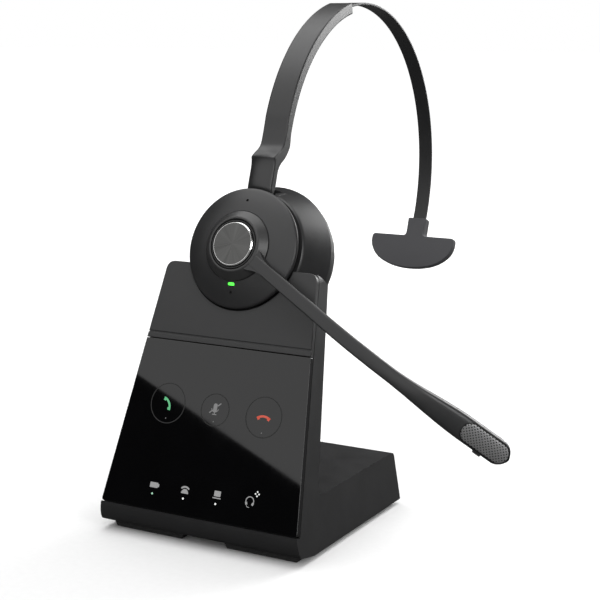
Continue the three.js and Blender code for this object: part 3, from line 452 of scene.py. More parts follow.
# ---------------------------------------------------------------------------- finishes
class Nodes:
    """Builds one material's nodes around its shader."""

    def __init__(self, name: str) -> None:
        """Starts a material with a plain shader."""
        self.material = bpy.data.materials.new(name)
        self.material.use_nodes = True
        self.tree = self.material.node_tree
        self.shader = self.tree.nodes["Principled BSDF"]

    def add(self, kind: str, **settings: object) -> bpy.types.Node:
        """Adds a node and sets its own settings."""
        node = self.tree.nodes.new(kind)
        for name, value in settings.items():
            setattr(node, name, value)
        return node

    def link(self, start: bpy.types.NodeSocket, end: bpy.types.NodeSocket) -> None:
        """Joins two sockets."""
        self.tree.links.new(start, end)

    def value(self, **values: float | tuple) -> None:
        """Sets the shader's own sockets, with underscores for the spaces of their names."""
        for name, value in values.items():
            self.shader.inputs[name.replace("_", " ")].default_value = value

    def place(self) -> bpy.types.NodeSocket:
        """Object coordinates, in metres."""
        return self.add("ShaderNodeTexCoord").outputs["Object"]

    def on_axes(self, axes: Axes) -> bpy.types.NodeSocket:
        """Object coordinates taken to a place's own axes, in metres."""
        mapping = self.add("ShaderNodeMapping", vector_type="TEXTURE")
        turn = Matrix((axes.right, axes.up, axes.out)).transposed().to_euler("XYZ")
        mapping.inputs["Location"].default_value = axes.origin
        mapping.inputs["Rotation"].default_value = turn
        self.link(self.place(), mapping.inputs["Vector"])
        return mapping.outputs["Vector"]

    def noise(self, where: bpy.types.NodeSocket, grain_mm: float, detail: float = 2.0,
              rough: float = 0.5) -> bpy.types.NodeSocket:
        """Noise whose lumps are about that many millimetres across."""
        node = self.add("ShaderNodeTexNoise")
        node.inputs["Scale"].default_value = 1.0 / (grain_mm * MM)
        node.inputs["Detail"].default_value = detail
        node.inputs["Roughness"].default_value = rough
        self.link(where, node.inputs["Vector"])
        return node.outputs["Fac"]

    def cells(self, where: bpy.types.NodeSocket, size_mm: float,
              feature: str = "F1") -> bpy.types.NodeSocket:
        """Distance inside cells of about that many millimetres."""
        node = self.add("ShaderNodeTexVoronoi", feature=feature)
        node.inputs["Scale"].default_value = 1.0 / (size_mm * MM)
        self.link(where, node.inputs["Vector"])
        return node.outputs["Distance"]

    def maths(self, operation: str, a: bpy.types.NodeSocket | float,
              b: bpy.types.NodeSocket | float | None = None) -> bpy.types.NodeSocket:
        """One sum on one or two values."""
        node = self.add("ShaderNodeMath", operation=operation)
        for socket, value in zip(node.inputs, (a, b)):
            if isinstance(value, bpy.types.NodeSocket):
                self.link(value, socket)
            elif value is not None:
                socket.default_value = value
        return node.outputs[0]

    def spread(self, value: bpy.types.NodeSocket, low: float, high: float, start: float = 0.3,
               end: float = 0.7) -> bpy.types.NodeSocket:
        """A value mapped from one range to another."""
        node = self.add("ShaderNodeMapRange")
        for name, number in (("From Min", start), ("From Max", end), ("To Min", low),
                             ("To Max", high)):
            node.inputs[name].default_value = number
        self.link(value, node.inputs["Value"])
        return node.outputs["Result"]

    def blend(self, share: bpy.types.NodeSocket, first: Colour, second: Colour,
              start: float = 0.3, end: float = 0.7) -> bpy.types.NodeSocket:
        """A colour between two, by a share."""
        ramp = self.add("ShaderNodeValToRGB")
        for element, colour, spot in zip(ramp.color_ramp.elements, (first, second), (start, end)):
            element.position, element.color = spot, (*colour, 1.0)
        self.link(share, ramp.inputs["Fac"])
        return ramp.outputs["Color"]

    def relief(self, height: bpy.types.NodeSocket, depth_mm: float, strength: float,
               below: bpy.types.NodeSocket | None = None) -> bpy.types.NodeSocket:
        """A bump of a depth, over another one if it is given."""
        node = self.add("ShaderNodeBump")
        node.inputs["Strength"].default_value = strength
        node.inputs["Distance"].default_value = depth_mm * MM
        self.link(height, node.inputs["Height"])
        if below is not None:
            self.link(below, node.inputs["Normal"])
        return node.outputs["Normal"]

    def wear(self, normal: bpy.types.NodeSocket | None) -> None:
        """Ends the relief on the shader."""
        if normal is not None:
            self.link(normal, self.shader.inputs["Normal"])


def darker(colour: Colour, share: float) -> Colour:
    """A colour times a share."""
    return tuple(min(1.0, part * share) for part in colour)


@dataclass(frozen=True)
class Finish:
    """A finish that makes its material once."""

    name: str

    def material(self) -> bpy.types.Material:
        """The material, made at its first use."""
        return bpy.data.materials.get(self.name) or self.make()

    def make(self) -> bpy.types.Material:
        """Builds the material."""
        raise NotImplementedError


@dataclass(frozen=True)
class Moulded(Finish):
    """Moulded plastic with the fine spark-eroded texture of its mould.

    Args:
        colour: its colour.
        roughness: how matte it is.
        grain_mm: size of the texture's grain.
        depth_mm: depth of the grain.
        uneven: how much the colour varies.
    """

    colour: Colour = (0.02, 0.02, 0.021)
    roughness: float = 0.5
    grain_mm: float = 0.28
    depth_mm: float = 0.01
    uneven: float = 0.1

    def make(self) -> bpy.types.Material:
        """Builds a grain, a faint cloudiness and small changes of gloss."""
        nodes = Nodes(self.name)
        where = nodes.place()
        cloud = nodes.noise(where, 9.0, 3.0, 0.6)
        grain = nodes.noise(where, self.grain_mm, 3.0, 0.7)
        pits = nodes.cells(where, self.grain_mm * 1.7)
        nodes.link(nodes.blend(cloud, darker(self.colour, 1 - self.uneven),
                               darker(self.colour, 1 + self.uneven)),
                   nodes.shader.inputs["Base Color"])
        gloss = nodes.maths("ADD", nodes.maths("MULTIPLY", cloud, 0.5),
                            nodes.maths("MULTIPLY", grain, 0.5))
        nodes.link(nodes.spread(gloss, self.roughness * 0.88, min(1.0, self.roughness * 1.12)),
                   nodes.shader.inputs["Roughness"])
        below = nodes.relief(pits, self.depth_mm, 0.35)
        nodes.wear(nodes.relief(grain, self.depth_mm, 0.5, below))
        return nodes.material


@dataclass(frozen=True)
class Glossy(Finish):
    """Polished black sheet over the touch keys.

    Args:
        colour: its colour.
        roughness: how blurred its mirror is.
    """

    colour: Colour = (0.0012, 0.0012, 0.0014)
    roughness: float = 0.03

    def make(self) -> bpy.types.Material:
        """Builds a near-mirror with the faintest handling haze."""
        nodes = Nodes(self.name)
        where = nodes.place()
        haze = nodes.noise(where, 22.0, 4.0, 0.65)
        nodes.link(nodes.blend(haze, darker(self.colour, 0.8), darker(self.colour, 1.3)),
                   nodes.shader.inputs["Base Color"])
        nodes.link(nodes.spread(haze, self.roughness * 0.8, self.roughness * 1.3),
                   nodes.shader.inputs["Roughness"])
        nodes.wear(nodes.relief(nodes.noise(where, 30.0), 0.01, 0.15))
        nodes.value(IOR=1.5)
        return nodes.material


@dataclass(frozen=True)
class Turned(Finish):
    """Metal or paint brushed in circles about a centre, so that light fans out over it, with fans
    of painted reflection in its colour as well.

    Args:
        axes: the centre, with its out along the axis of turning.
        colour: its colour.
        roughness: how matte it is.
        metallic: 1 on bare metal.
        painted_fan_tone: how much the fans of light differ in tone.
        fans: number of fan-shaped changes of tone round the turn.
        spin: strength of the turned sheen.
        groove_mm: distance between the fine grooves.
    """

    axes: Axes | None = None
    colour: Colour = (0.2, 0.2, 0.2)
    roughness: float = 0.3
    metallic: float = 1.0
    painted_fan_tone: float = 0.35
    fans: float = 1.6
    spin: float = 0.75
    groove_mm: float = 0.12

    def make(self) -> bpy.types.Material:
        """Builds fans of painted reflection by angle, fine grooves by radius and a turned sheen."""
        nodes = Nodes(self.name)
        where = nodes.on_axes(self.axes)
        flat = nodes.add("ShaderNodeVectorMath", operation="MULTIPLY")
        flat.inputs[1].default_value = (1.0, 1.0, 0.0)
        nodes.link(where, flat.inputs[0])
        length = nodes.add("ShaderNodeVectorMath", operation="LENGTH")
        nodes.link(flat.outputs[0], length.inputs[0])
        unit = nodes.add("ShaderNodeVectorMath", operation="NORMALIZE")
        nodes.link(flat.outputs[0], unit.inputs[0])
        fans = nodes.add("ShaderNodeTexNoise")
        fans.inputs["Scale"].default_value = self.fans
        fans.inputs["Detail"].default_value = 5.0
        fans.inputs["Roughness"].default_value = 0.72
        nodes.link(unit.outputs[0], fans.inputs["Vector"])
        # painted reflection: lighter and darker fans of colour by angle stand in for the bow-tie
        # highlight of the brushing
        nodes.link(nodes.blend(fans.outputs["Fac"], darker(self.colour, 1 - self.painted_fan_tone),
                               darker(self.colour, 1 + self.painted_fan_tone), 0.34, 0.66),
                   nodes.shader.inputs["Base Color"])
        grooves = nodes.add("ShaderNodeTexNoise", noise_dimensions="1D")
        grooves.inputs["Scale"].default_value = 1.0 / (self.groove_mm * MM)
        grooves.inputs["Detail"].default_value = 2.0
        nodes.link(length.outputs["Value"], grooves.inputs["W"])
        nodes.wear(nodes.relief(grooves.outputs["Fac"], 0.006, 0.35))
        nodes.link(nodes.spread(fans.outputs["Fac"], self.roughness * 0.8, self.roughness * 1.2),
                   nodes.shader.inputs["Roughness"])
        tangent = nodes.add("ShaderNodeTangent", direction_type="UV_MAP", uv_map="turn")
        nodes.link(tangent.outputs["Tangent"], nodes.shader.inputs["Tangent"])
        nodes.value(Metallic=self.metallic, Anisotropic=self.spin)
        return nodes.material


@dataclass(frozen=True)
class Metal(Finish):
    """Plain metal with faint drawing marks.

    Args:
        colour: its colour.
        roughness: how matte it is.
    """

    colour: Colour = (0.5, 0.5, 0.5)
    roughness: float = 0.32

    def make(self) -> bpy.types.Material:
        """Builds fine marks and patches of tarnish."""
        nodes = Nodes(self.name)
        where = nodes.place()
        marks = nodes.noise(where, 0.22, 3.0, 0.7)
        patches = nodes.noise(where, 5.0, 3.0, 0.6)
        nodes.link(nodes.blend(patches, darker(self.colour, 0.8), darker(self.colour, 1.12)),
                   nodes.shader.inputs["Base Color"])
        nodes.link(nodes.spread(marks, self.roughness * 0.8, self.roughness * 1.25),
                   nodes.shader.inputs["Roughness"])
        nodes.wear(nodes.relief(marks, 0.006, 0.3))
        nodes.value(Metallic=1.0)
        return nodes.material


@dataclass(frozen=True)
class Leatherette(Finish):
    """Soft coated fabric with a pebbled grain and the creases of a stuffed ring.

    Args:
        colour: its colour.
        grain_mm: size of a pebble.
    """

    colour: Colour = (0.012, 0.012, 0.012)
    grain_mm: float = 0.75

    def make(self) -> bpy.types.Material:
        """Builds pebbles, with painted shade in the creases between them and a painted sheen on
        their crowns, and slow changes of gloss.
        """
        nodes = Nodes(self.name)
        where = nodes.place()
        pebbles = nodes.cells(where, self.grain_mm, "SMOOTH_F1")
        fine = nodes.noise(where, 0.22, 3.0, 0.7)
        folds = nodes.noise(where, 4.5, 4.0, 0.6)
        # painted shade and sheen: the pebbles' crowns lighter and the creases between them darker
        nodes.link(nodes.blend(pebbles, darker(self.colour, 1.35), darker(self.colour, 0.7), 0.1,
                               0.8), nodes.shader.inputs["Base Color"])
        nodes.link(nodes.spread(folds, 0.42, 0.62), nodes.shader.inputs["Roughness"])
        below = nodes.relief(folds, 0.25, 0.25)
        below = nodes.relief(nodes.maths("MULTIPLY", pebbles, -1.0), 0.09, 0.6, below)
        nodes.wear(nodes.relief(fine, 0.02, 0.4, below))
        nodes.value(Sheen_Weight=0.12, Sheen_Roughness=0.4)
        return nodes.material


@dataclass(frozen=True)
class Woven(Finish):
    """Thin woven cloth over the speaker.

    Args:
        axes: the plane of the cloth, with its threads along X and Y.
        colour: its colour.
        thread_mm: width of a thread.
    """

    axes: Axes | None = None
    colour: Colour = (0.011, 0.011, 0.012)
    thread_mm: float = 0.42

    def make(self) -> bpy.types.Material:
        """Builds two crossing sets of threads, with painted shade in the small gaps between them.
        """
        nodes = Nodes(self.name)
        where = nodes.on_axes(self.axes)
        split = nodes.add("ShaderNodeSeparateXYZ")
        nodes.link(where, split.inputs[0])
        turns = math.tau / (self.thread_mm * 2 * MM)
        threads = [nodes.maths("ABSOLUTE", nodes.maths(
            "SINE", nodes.maths("MULTIPLY", split.outputs[axis], turns))) for axis in ("X", "Y")]
        weave = nodes.maths("MAXIMUM", threads[0], threads[1])
        # painted shade: the gaps between threads darker and the threads lighter, following the
        # weave's relief
        nodes.link(nodes.blend(weave, darker(self.colour, 0.4), darker(self.colour, 1.5), 0.2, 0.9),
                   nodes.shader.inputs["Base Color"])
        nodes.wear(nodes.relief(weave, 0.12, 0.7))
        nodes.value(Roughness=0.85, Sheen_Weight=0.3, Sheen_Roughness=0.5)
        return nodes.material


@dataclass(frozen=True)
class Perforated(Finish):
    """Grey sheet metal with a staggered field of small holes painted in as spots of painted shade,
    laid out by its own UV map.

    Args:
        colour: colour of the metal.
        pitch_mm: distance between holes of a row.
        hole_mm: radius of a hole.
    """

    colour: Colour = (0.3, 0.3, 0.3)
    pitch_mm: float = 1.62
    hole_mm: float = 0.3

    def make(self) -> bpy.types.Material:
        """Builds the holes from the distance to the nearest point of two square grids, painting
        them near-black as painted shade.
        """
        nodes = Nodes(self.name)
        split = nodes.add("ShaderNodeSeparateXYZ")
        uv = nodes.add("ShaderNodeUVMap", uv_map="sheet")
        nodes.link(uv.outputs["UV"], split.inputs[0])
        nearest: list[bpy.types.NodeSocket] = []
        for shift in (0.0, 0.5):
            parts = []
            for axis in ("X", "Y"):
                step = nodes.maths("MULTIPLY", split.outputs[axis], 1.0 / self.pitch_mm)
                inside = nodes.maths("FRACT", nodes.maths("ADD", step, shift + 100.0))
                offset = nodes.maths("SUBTRACT", inside, 0.5)
                parts.append(nodes.maths("MULTIPLY", offset, offset))
            nearest.append(nodes.maths("SQRT", nodes.maths("ADD", parts[0], parts[1])))
        reach = self.hole_mm / self.pitch_mm
        distance = nodes.maths("MINIMUM", nearest[0], nearest[1])
        hole = nodes.spread(distance, 0.0, 1.0, reach * 0.85, reach * 1.15)
        grain = nodes.noise(nodes.place(), 0.35, 3.0, 0.7)
        tint = nodes.add("ShaderNodeMix", data_type="RGBA")
        # painted shade: each hole is painted near-black for the dark inside that would show through
        # it
        tint.inputs["A"].default_value = (0.002, 0.002, 0.002, 1.0)
        nodes.link(hole, tint.inputs["Factor"])
        nodes.link(nodes.blend(grain, darker(self.colour, 0.85), darker(self.colour, 1.12)),
                   tint.inputs["B"])
        nodes.link(tint.outputs["Result"], nodes.shader.inputs["Base Color"])
        nodes.link(nodes.spread(hole, 0.9, 0.42, 0.0, 1.0), nodes.shader.inputs["Roughness"])
        nodes.link(nodes.spread(hole, 0.0, 0.85, 0.0, 1.0), nodes.shader.inputs["Metallic"])
        nodes.wear(nodes.relief(hole, 0.15, 0.6))
        return nodes.material


@dataclass(frozen=True)
class Board(Finish):
    """Circuit board under green lacquer, with tracks.

    Args:
        colour: colour of the lacquer.
        track_mm: distance between tracks.
    """

    colour: Colour = (0.012, 0.06, 0.03)
    track_mm: float = 2.4

    def make(self) -> bpy.types.Material:
        """Builds tracks from stepped cells."""
        nodes = Nodes(self.name)
        tracks = nodes.cells(nodes.place(), self.track_mm, "DISTANCE_TO_EDGE")
        nodes.link(nodes.blend(tracks, darker(self.colour, 2.4), self.colour, 0.04, 0.08),
                   nodes.shader.inputs["Base Color"])
        nodes.wear(nodes.relief(tracks, 0.04, 0.4))
        nodes.value(Roughness=0.35, Coat_Weight=0.5)
        return nodes.material


@dataclass(frozen=True)
class Lit(Finish):
    """A mark or a light that shines through a dark sheet.

    Args:
        colour: colour of the light.
        strength: brightness of the light.
    """

    colour: Colour = (0.4, 0.4, 0.4)
    strength: float = 1.0

    def make(self) -> bpy.types.Material:
        """Builds an even glow with a faint printed grain."""
        nodes = Nodes(self.name)
        dots = nodes.noise(nodes.place(), 0.3, 2.0, 0.6)
        nodes.link(nodes.blend(dots, darker(self.colour, 0.8), darker(self.colour, 1.15)),
                   nodes.shader.inputs["Emission Color"])
        nodes.value(Base_Color=(*darker(self.colour, 0.2), 1.0), Roughness=0.4,
                    Emission_Strength=self.strength)
        return nodes.material


@dataclass(frozen=True)
class Clear(Finish):
    """Clear acrylic that carries light to the keys."""

    def make(self) -> bpy.types.Material:
        """Builds clear acrylic with a frosted grain."""
        nodes = Nodes(self.name)
        frost = nodes.noise(nodes.place(), 0.5, 2.0)
        nodes.link(nodes.spread(frost, 0.1, 0.25), nodes.shader.inputs["Roughness"])
        nodes.value(Transmission_Weight=1.0, IOR=1.49, Base_Color=(0.9, 0.95, 0.92, 1.0))
        return nodes.material


HOUSING = Moulded("housing_plastic", (0.0125, 0.0125, 0.0130), 0.46, 0.24, 0.010, 0.08)
PLATE = Moulded("plate_plastic", (0.020, 0.020, 0.0205), 0.48, 0.22, 0.010, 0.08)
SATIN = Moulded("satin_shell", (0.0165, 0.0165, 0.017), 0.40, 0.16, 0.006, 0.07)
STRIP = Moulded("strip_paint", (0.010, 0.010, 0.0105), 0.52, 0.3, 0.006, 0.08)
BLACK = Moulded("plain_black", (0.006, 0.006, 0.0062), 0.55, 0.3, 0.01, 0.1)
KEY = Moulded("key_plastic", (0.010, 0.010, 0.0105), 0.5, 0.3, 0.01, 0.1)
RUBBER = Moulded("foot_rubber", (0.006, 0.006, 0.006), 0.85, 0.5, 0.03, 0.15)
PAD = Moulded("pad_rubber", (0.024, 0.024, 0.0245), 0.62, 0.35, 0.02, 0.06)
PAD_SHELL = Moulded("pad_shell", (0.012, 0.012, 0.0125), 0.5, 0.3, 0.012, 0.08)
SOCKET = Moulded("socket_plastic", (0.004, 0.004, 0.0042), 0.3, 0.5, 0.004, 0.1)
SOCKET_CUP = Moulded("cradle_plastic", (0.009, 0.009, 0.0092), 0.5, 0.3, 0.01, 0.1)
GLASS = Glossy("touch_sheet")
# The cap and the hub ring carry fans of painted reflection in their colour.
BUTTON = Turned("turned_cap", HUB, (0.095, 0.095, 0.093), 0.30, 1.0, 0.22, 1.5, 0.7)
HUB_RING = Turned("turned_hub", HUB, (0.036, 0.036, 0.036), 0.36, 0.3, 0.10, 1.1, 0.6)
BRIGHT = Metal("bright_edge", (0.85, 0.85, 0.84), 0.18)
STEEL = Metal("plain_steel", (0.42, 0.42, 0.42), 0.35)
GOLD = Metal("contact_gold", (0.75, 0.53, 0.2), 0.28)
FOIL = Metal("battery_foil", (0.5, 0.53, 0.56), 0.4)
LEATHER = Leatherette("leatherette")
CLOTH = Woven("speaker_cloth", HUB)
GRILLE = Perforated("mic_grille_sheet")
BOARD = Board("circuit_board")
ACRYLIC = Clear("clear_acrylic")
GREEN_LIGHT = Lit("status_green", (0.10, 0.95, 0.08), 1.6)
MARK_GREEN = Lit("call_green", (0.10, 0.42, 0.19), 1.0)
MARK_RED = Lit("end_red", (0.50, 0.075, 0.045), 1.0)
MARK_GREY = Lit("mark_grey", (0.17, 0.17, 0.17), 1.0)
MARK_LIGHT = Lit("mark_light", (0.27, 0.27, 0.27), 1.0)
MARK_WHITE = Lit("dot_white", (0.80, 0.82, 0.80), 1.0)
MARK_DIM = Lit("dot_dim", (0.12, 0.12, 0.12), 1.0)
MARK_MINT = Lit("dot_green", (0.35, 0.62, 0.45), 1.0)
KEY_LINE = Moulded("key_outline", (0.019, 0.019, 0.019), 1.0, 0.3, 0.004, 0.1)


# ---------------------------------------------------------------------------- charging base
def softened(node: str, body: Body, finish: Finish, width: float, slot: str,
             segments: int = 2, over: float = 30.0,
             pick: Callable[[Vector], bool] | None = None) -> bpy.types.Object:
    """Shows a CAD node as a copy with its edges rounded.

    Args:
        node: name of the CAD node that the copy stands for.
        body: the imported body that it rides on.
        finish: its finish.
        width: width of the rounding, in millimetres.
        slot: the record's material slot.
        segments: number of faces across a rounding.
        over: smallest turn between faces that is rounded, in degrees.
        pick: chooses edges by their middle point; all of them when left out.

    Returns:
        The piece in place.
    """
    form = Form.of_node(node).bevelled(width, segments, over, pick)
    return Piece(f"{node}_shape", body, finish, (node,), slot).place(form, None)


@dataclass
class TouchMarks:
    """The lit marks and rings under the touch sheet, with their places on it.

    Args:
        call, mute, end: centre and ring radius of the three round keys.
        ring: width of a key's ring.
        height: thickness of the printed marks.
        status: centres of the four small marks, left to right.
    """

    call: Corner = (-24.4, 46.9, 8.8)
    mute: Corner = (0.1, 47.0, 7.0)
    end: Corner = (24.6, 47.0, 8.7)
    ring: float = 0.42
    height: float = 0.03
    status: tuple[Point, ...] = ((-23.6, 10.7), (-7.6, 11.0), (8.8, 11.3), (25.0, 11.3))

    def lay(self, name: str, finish: Finish, *shapes: Sequence[Point]) -> None:
        """Lays printed shapes on the touch sheet as one piece."""
        form = Form()
        for shape in shapes:
            form.slab(shape, -self.height, self.height)
        Piece(name, Body.BASE, finish, slot="gloss_black").place(form, PANEL, even=False)

    @staticmethod
    def band(line: Sequence[Point], width: float) -> list[Point]:
        """Outline of a ribbon of a width along a line."""
        left: list[Point] = []
        right: list[Point] = []
        for i, (x, y) in enumerate(line):
            before, after = line[max(i - 1, 0)], line[min(i + 1, len(line) - 1)]
            run = Vector((after[0] - before[0], after[1] - before[1])).normalized() * width / 2
            left.append((x - run.y, y + run.x))
            right.append((x + run.y, y - run.x))
        return [*left, *reversed(right)]

    def handset(self, x: float, y: float, radius: float, start: float, end: float, width: float,
                foot: float) -> list[list[Point]]:
        """Outlines of a telephone handset seen from the side.

        Args:
            x, y: centre of the arc that its grip follows.
            radius: radius of that arc.
            start, end: angles of the grip's ends, in degrees.
            width: thickness of the grip.
            foot: how far the two ends reach in.

        Returns:
            The grip and its two ends.
        """
        shapes = [self.band(arc(x, y, radius, start, end, 18), width)]
        for angle, way in ((start, 1), (end, -1)):
            turn = way * math.degrees(width * 0.75 / radius) * (1 if end > start else -1)
            near, far = radius + width / 2, radius - foot
            a = arc(x, y, near, angle, angle + 1.7 * turn, 3)
            b = arc(x, y, far, angle + 1.9 * turn, angle, 3)
            shapes.append([*a, *b])
        return shapes

    def rings(self) -> None:
        """The rings round the three keys."""
        form = Form()
        for x, y, radius in (self.call, self.mute, self.end):
            half = self.ring / 2
            loop = Form().turned([(radius - half, -0.02), (radius + half, -0.02),
                                  (radius + half, 0.035), (radius - half, 0.035)], 120, True)
            form.joined(loop.shifted(x, y, 0))
        Piece("key_rings", Body.BASE, KEY_LINE, slot="gloss_black").place(form, PANEL, even=False)

    def microphone(self) -> None:
        """The struck-out microphone on the middle key."""
        x, y = self.mute[0], self.mute[1] + 0.3
        self.lay("mark_microphone", MARK_GREY,
                 round_box(1.9, 3.7, 0.93, x, y + 0.7),
                 self.band(arc(x, y + 0.55, 1.75, 190, 350, 16), 0.36),
                 round_box(0.36, 1.0, 0, x, y - 1.6), round_box(2.2, 0.4, 0, x, y - 2.25),
                 self.band([(x - 2.6, y - 1.8), (x - 1.25, y - 0.6)], 0.5),
                 self.band([(x + 1.1, y + 1.5), (x + 2.6, y + 2.8)], 0.5))

    def small_marks(self) -> None:
        """Battery, desk phone, laptop and headset, with the four dots of the radio link."""
        (bx, by), (px, py), (lx, ly), (hx, hy) = self.status
        self.lay("mark_battery", MARK_LIGHT, round_box(4.1, 2.3, 0.3, bx - 0.2, by),
                 round_box(0.8, 1.3, 0.2, bx + 2.1, by))
        self.lay("mark_desk_phone", MARK_LIGHT,
                 self.band(arc(px, py - 1.3, 2.6, 42, 138, 12), 0.75),
                 eased([(px - 2.0, py - 1.6, 0.3), (px + 2.0, py - 1.6, 0.3),
                        (px + 1.5, py - 0.5, 0.3), (px + 0.7, py + 0.35, 0.3),
                        (px - 0.7, py + 0.35, 0.3), (px - 1.5, py - 0.5, 0.3)]))
        self.lay("mark_laptop", MARK_LIGHT, round_box(3.2, 2.4, 0.25, lx, ly + 0.6),
                 round_box(4.1, 0.45, 0.2, lx - 0.1, ly - 1.3))
        self.lay("mark_headset", MARK_LIGHT,
                 self.band(arc(hx, hy, 1.9, -35, 215, 24), 0.4),
                 self.band([(hx - 1.75, hy - 0.5), (hx - 1.35, hy - 1.6)], 0.95),
                 self.band([(hx + 1.75, hy - 0.5), (hx + 1.35, hy - 1.6)], 0.95),
                 self.band(arc(hx - 0.3, hy - 1.5, 1.1, 200, 290, 8), 0.3))
        link = [arc(28.0 + a, 14.8 + b, 0.36, 0, 330, 11)
                for a, b in ((0.85, 0), (-0.85, 0), (0, 0.9), (0, -0.9))]
        self.lay("mark_radio_link", MARK_WHITE, *link)

    def dots(self) -> None:
        """The small lights under the marks."""
        self.lay("key_dots", MARK_DIM, *[arc(x, y, 0.28, 0, 330, 11)
                                         for x, y in ((-24.2, 40.2), (0.3, 41.9), (24.8, 40.3))])
        self.lay("status_dots", MARK_WHITE, *[arc(x, y, 0.46, 0, 330, 11)
                                              for x, y in ((-7.9, 7.2), (8.6, 7.5))])
        self.lay("battery_dot", MARK_MINT, arc(-24.0, 6.9, 0.46, 0, 330, 11))

    def build(self) -> None:
        """Lays every mark on the sheet."""
        self.rings()
        x, y, _ = self.call
        self.lay("mark_call", MARK_GREEN, *self.handset(x - 3.4, y - 2.2, 4.6, 75, -10, 0.95, 1.0))
        x, y, _ = self.end
        self.lay("mark_end", MARK_RED, *self.handset(x, y - 5.2, 5.6, 125, 55, 0.95, 1.0))
        self.microphone()
        self.small_marks()
        self.dots()


@dataclass
class ChargingBase:
    """The charging base: housing, plates, touch sheet, sockets, cradle and feet.

    Args:
        half_width: half of the panel's width at its lower edge.
        taper: half-width lost for each millimetre up the panel.
        length: length of the panel up the slope.
        thickness: thickness of the plates.
        touch_length: length of the touch sheet.
        groove: foot of the groove across the upper plate.
        groove_width: width of that groove.
        corner: rounding of the upper plate's corners.
        notch: radius of the round notch for the headset's disc.
        notch_at: height of the notch's centre up the slope.
        edge_band: depth below the face within which plate edges are rounded.
        web_low, web_high: ends of the web behind the groove.
        pin_rows: middle, number of contacts and floor of each round of contacts.
        pin_pitch: distance between two contacts.
        pin_depth: where the contacts start and end, front to back.
        marks: the marks under the touch sheet.
    """

    half_width: float = 50.0
    taper: float = 0.107
    length: float = 110.6
    thickness: float = 2.4
    touch_length: float = 74.8
    groove: float = 77.4
    groove_width: float = 0.7
    corner: float = 4.5
    notch: float = 27.6
    notch_at: float = 118.65
    edge_band: float = 0.2
    web_low: float = 77.0
    web_high: float = 78.6
    pin_rows: tuple[tuple[float, int, float], ...] = ((-16.0, 6, 13.0), (-0.5, 6, 13.0),
                                                      (13.5, 4, 11.8))
    pin_pitch: float = 1.02
    pin_depth: Point = (84.6, 92.2)
    marks: TouchMarks = field(default_factory=TouchMarks)

    def half(self, up: float, inset: float = 0.0) -> float:
        """Half-width of the panel at a place up the slope."""
        return self.half_width - self.taper * up - inset

    def plate_outline(self, low: float) -> list[Point]:
        """Outline of the upper plate from a height up to its notched top edge."""
        top = self.length
        half = math.sqrt(self.notch ** 2 - (self.notch_at - top) ** 2)
        lean = math.degrees(math.asin((self.notch_at - top) / self.notch))
        right = eased([(self.half(low), low, 0), (self.half(top), top, self.corner),
                       (half, top, 0)], closed=False, steps=12)
        left = [(-x, y) for x, y in reversed(right)]
        bowl = arc(0, self.notch_at, self.notch, -lean, -180 + lean, 64)
        return [*right[:-1], *bowl, *left[1:]]

    def plates(self) -> None:
        """The upper plate, with the groove across it and the web behind the groove."""
        low, slot = self.touch_length + 0.3, self.groove + self.groove_width
        form = Form().slab(self.plate_outline(slot), -self.thickness, 0)
        form.bevelled(0.32, 3, 40, lambda middle: middle.z > -self.edge_band)
        lower = Form().slab([(-self.half(low), low), (self.half(low), low),
                             (self.half(self.groove), self.groove),
                             (-self.half(self.groove), self.groove)], -self.thickness, 0)
        form.joined(lower.bevelled(0.25, 3, 40, lambda middle: middle.z > -self.edge_band))
        foot, head = self.half(self.web_low, 0.05), self.half(self.web_high, 0.05)
        web = Form().slab([(-foot, self.web_low), (foot, self.web_low), (head, self.web_high),
                           (-head, self.web_high)], -self.thickness + 0.1, -0.5)
        form.joined(web)
        Piece("upper_plate", Body.BASE, PLATE, ("faceplate",), "plate_grey").place(form, PANEL)

    def touch_sheet(self) -> None:
        """The glossy sheet over the touch keys, with thin rounded edges."""
        high = self.touch_length
        outline = eased([(-self.half(0), 0, 1.4), (self.half(0), 0, 1.4),
                         (self.half(high), high, 0.4), (-self.half(high), high, 0.4)], steps=6)
        form = Form().slab(outline, -self.thickness, 0)
        form.bevelled(0.28, 3, 40, lambda middle: middle.z > -self.edge_band)
        Piece("touch_sheet_panel", Body.BASE, GLASS, ("touch_panel",), "gloss_black").place(
            form, PANEL)

    def housing(self) -> None:
        """The housing, cover, feet and cradle as softened copies of their nodes."""
        softened("base_housing", Body.BASE, HOUSING, 0.55, "housing_black", 3, 32)
        softened("base_bottom_cover", Body.BASE, HOUSING, 0.25, "housing_black", 2, 40)
        softened("cradle_cup", Body.BASE, SOCKET_CUP, 0.3, "inner_plastic", 2, 40)
        for side in ("left", "right"):
            for end in ("front", "rear"):
                softened(f"foot_{end}_{side}", Body.BASE, RUBBER, 0.25, "foot_rubber", 2, 40)
            softened(f"charge_contact_{side}", Body.BASE, GOLD, 0.3, "contact_gold", 3, 40)

    def sockets(self) -> None:
        """The sockets on the back, each with its contacts."""
        for name in ("power_jack", "phone_port", "handset_port", "aux_port"):
            softened(name, Body.BASE, SOCKET, 0.2, "socket_black", 2, 40)
        softened("usb_port", Body.BASE, STEEL, 0.15, "plain_steel", 2, 40)
        pins = Form()
        near, far = self.pin_depth
        for centre, wide, floor in self.pin_rows:
            for i in range(wide):
                x = centre + (i - (wide - 1) / 2) * self.pin_pitch
                pins.block((x - 0.16, near, floor + 0.05), (x + 0.16, far, floor + 0.22))
        pins.block((23.9, 85.0, 13.05), (29.7, 91.4, 13.6))
        Piece("socket_contacts", Body.BASE, GOLD, slot="contact_gold").place(pins, DESK)

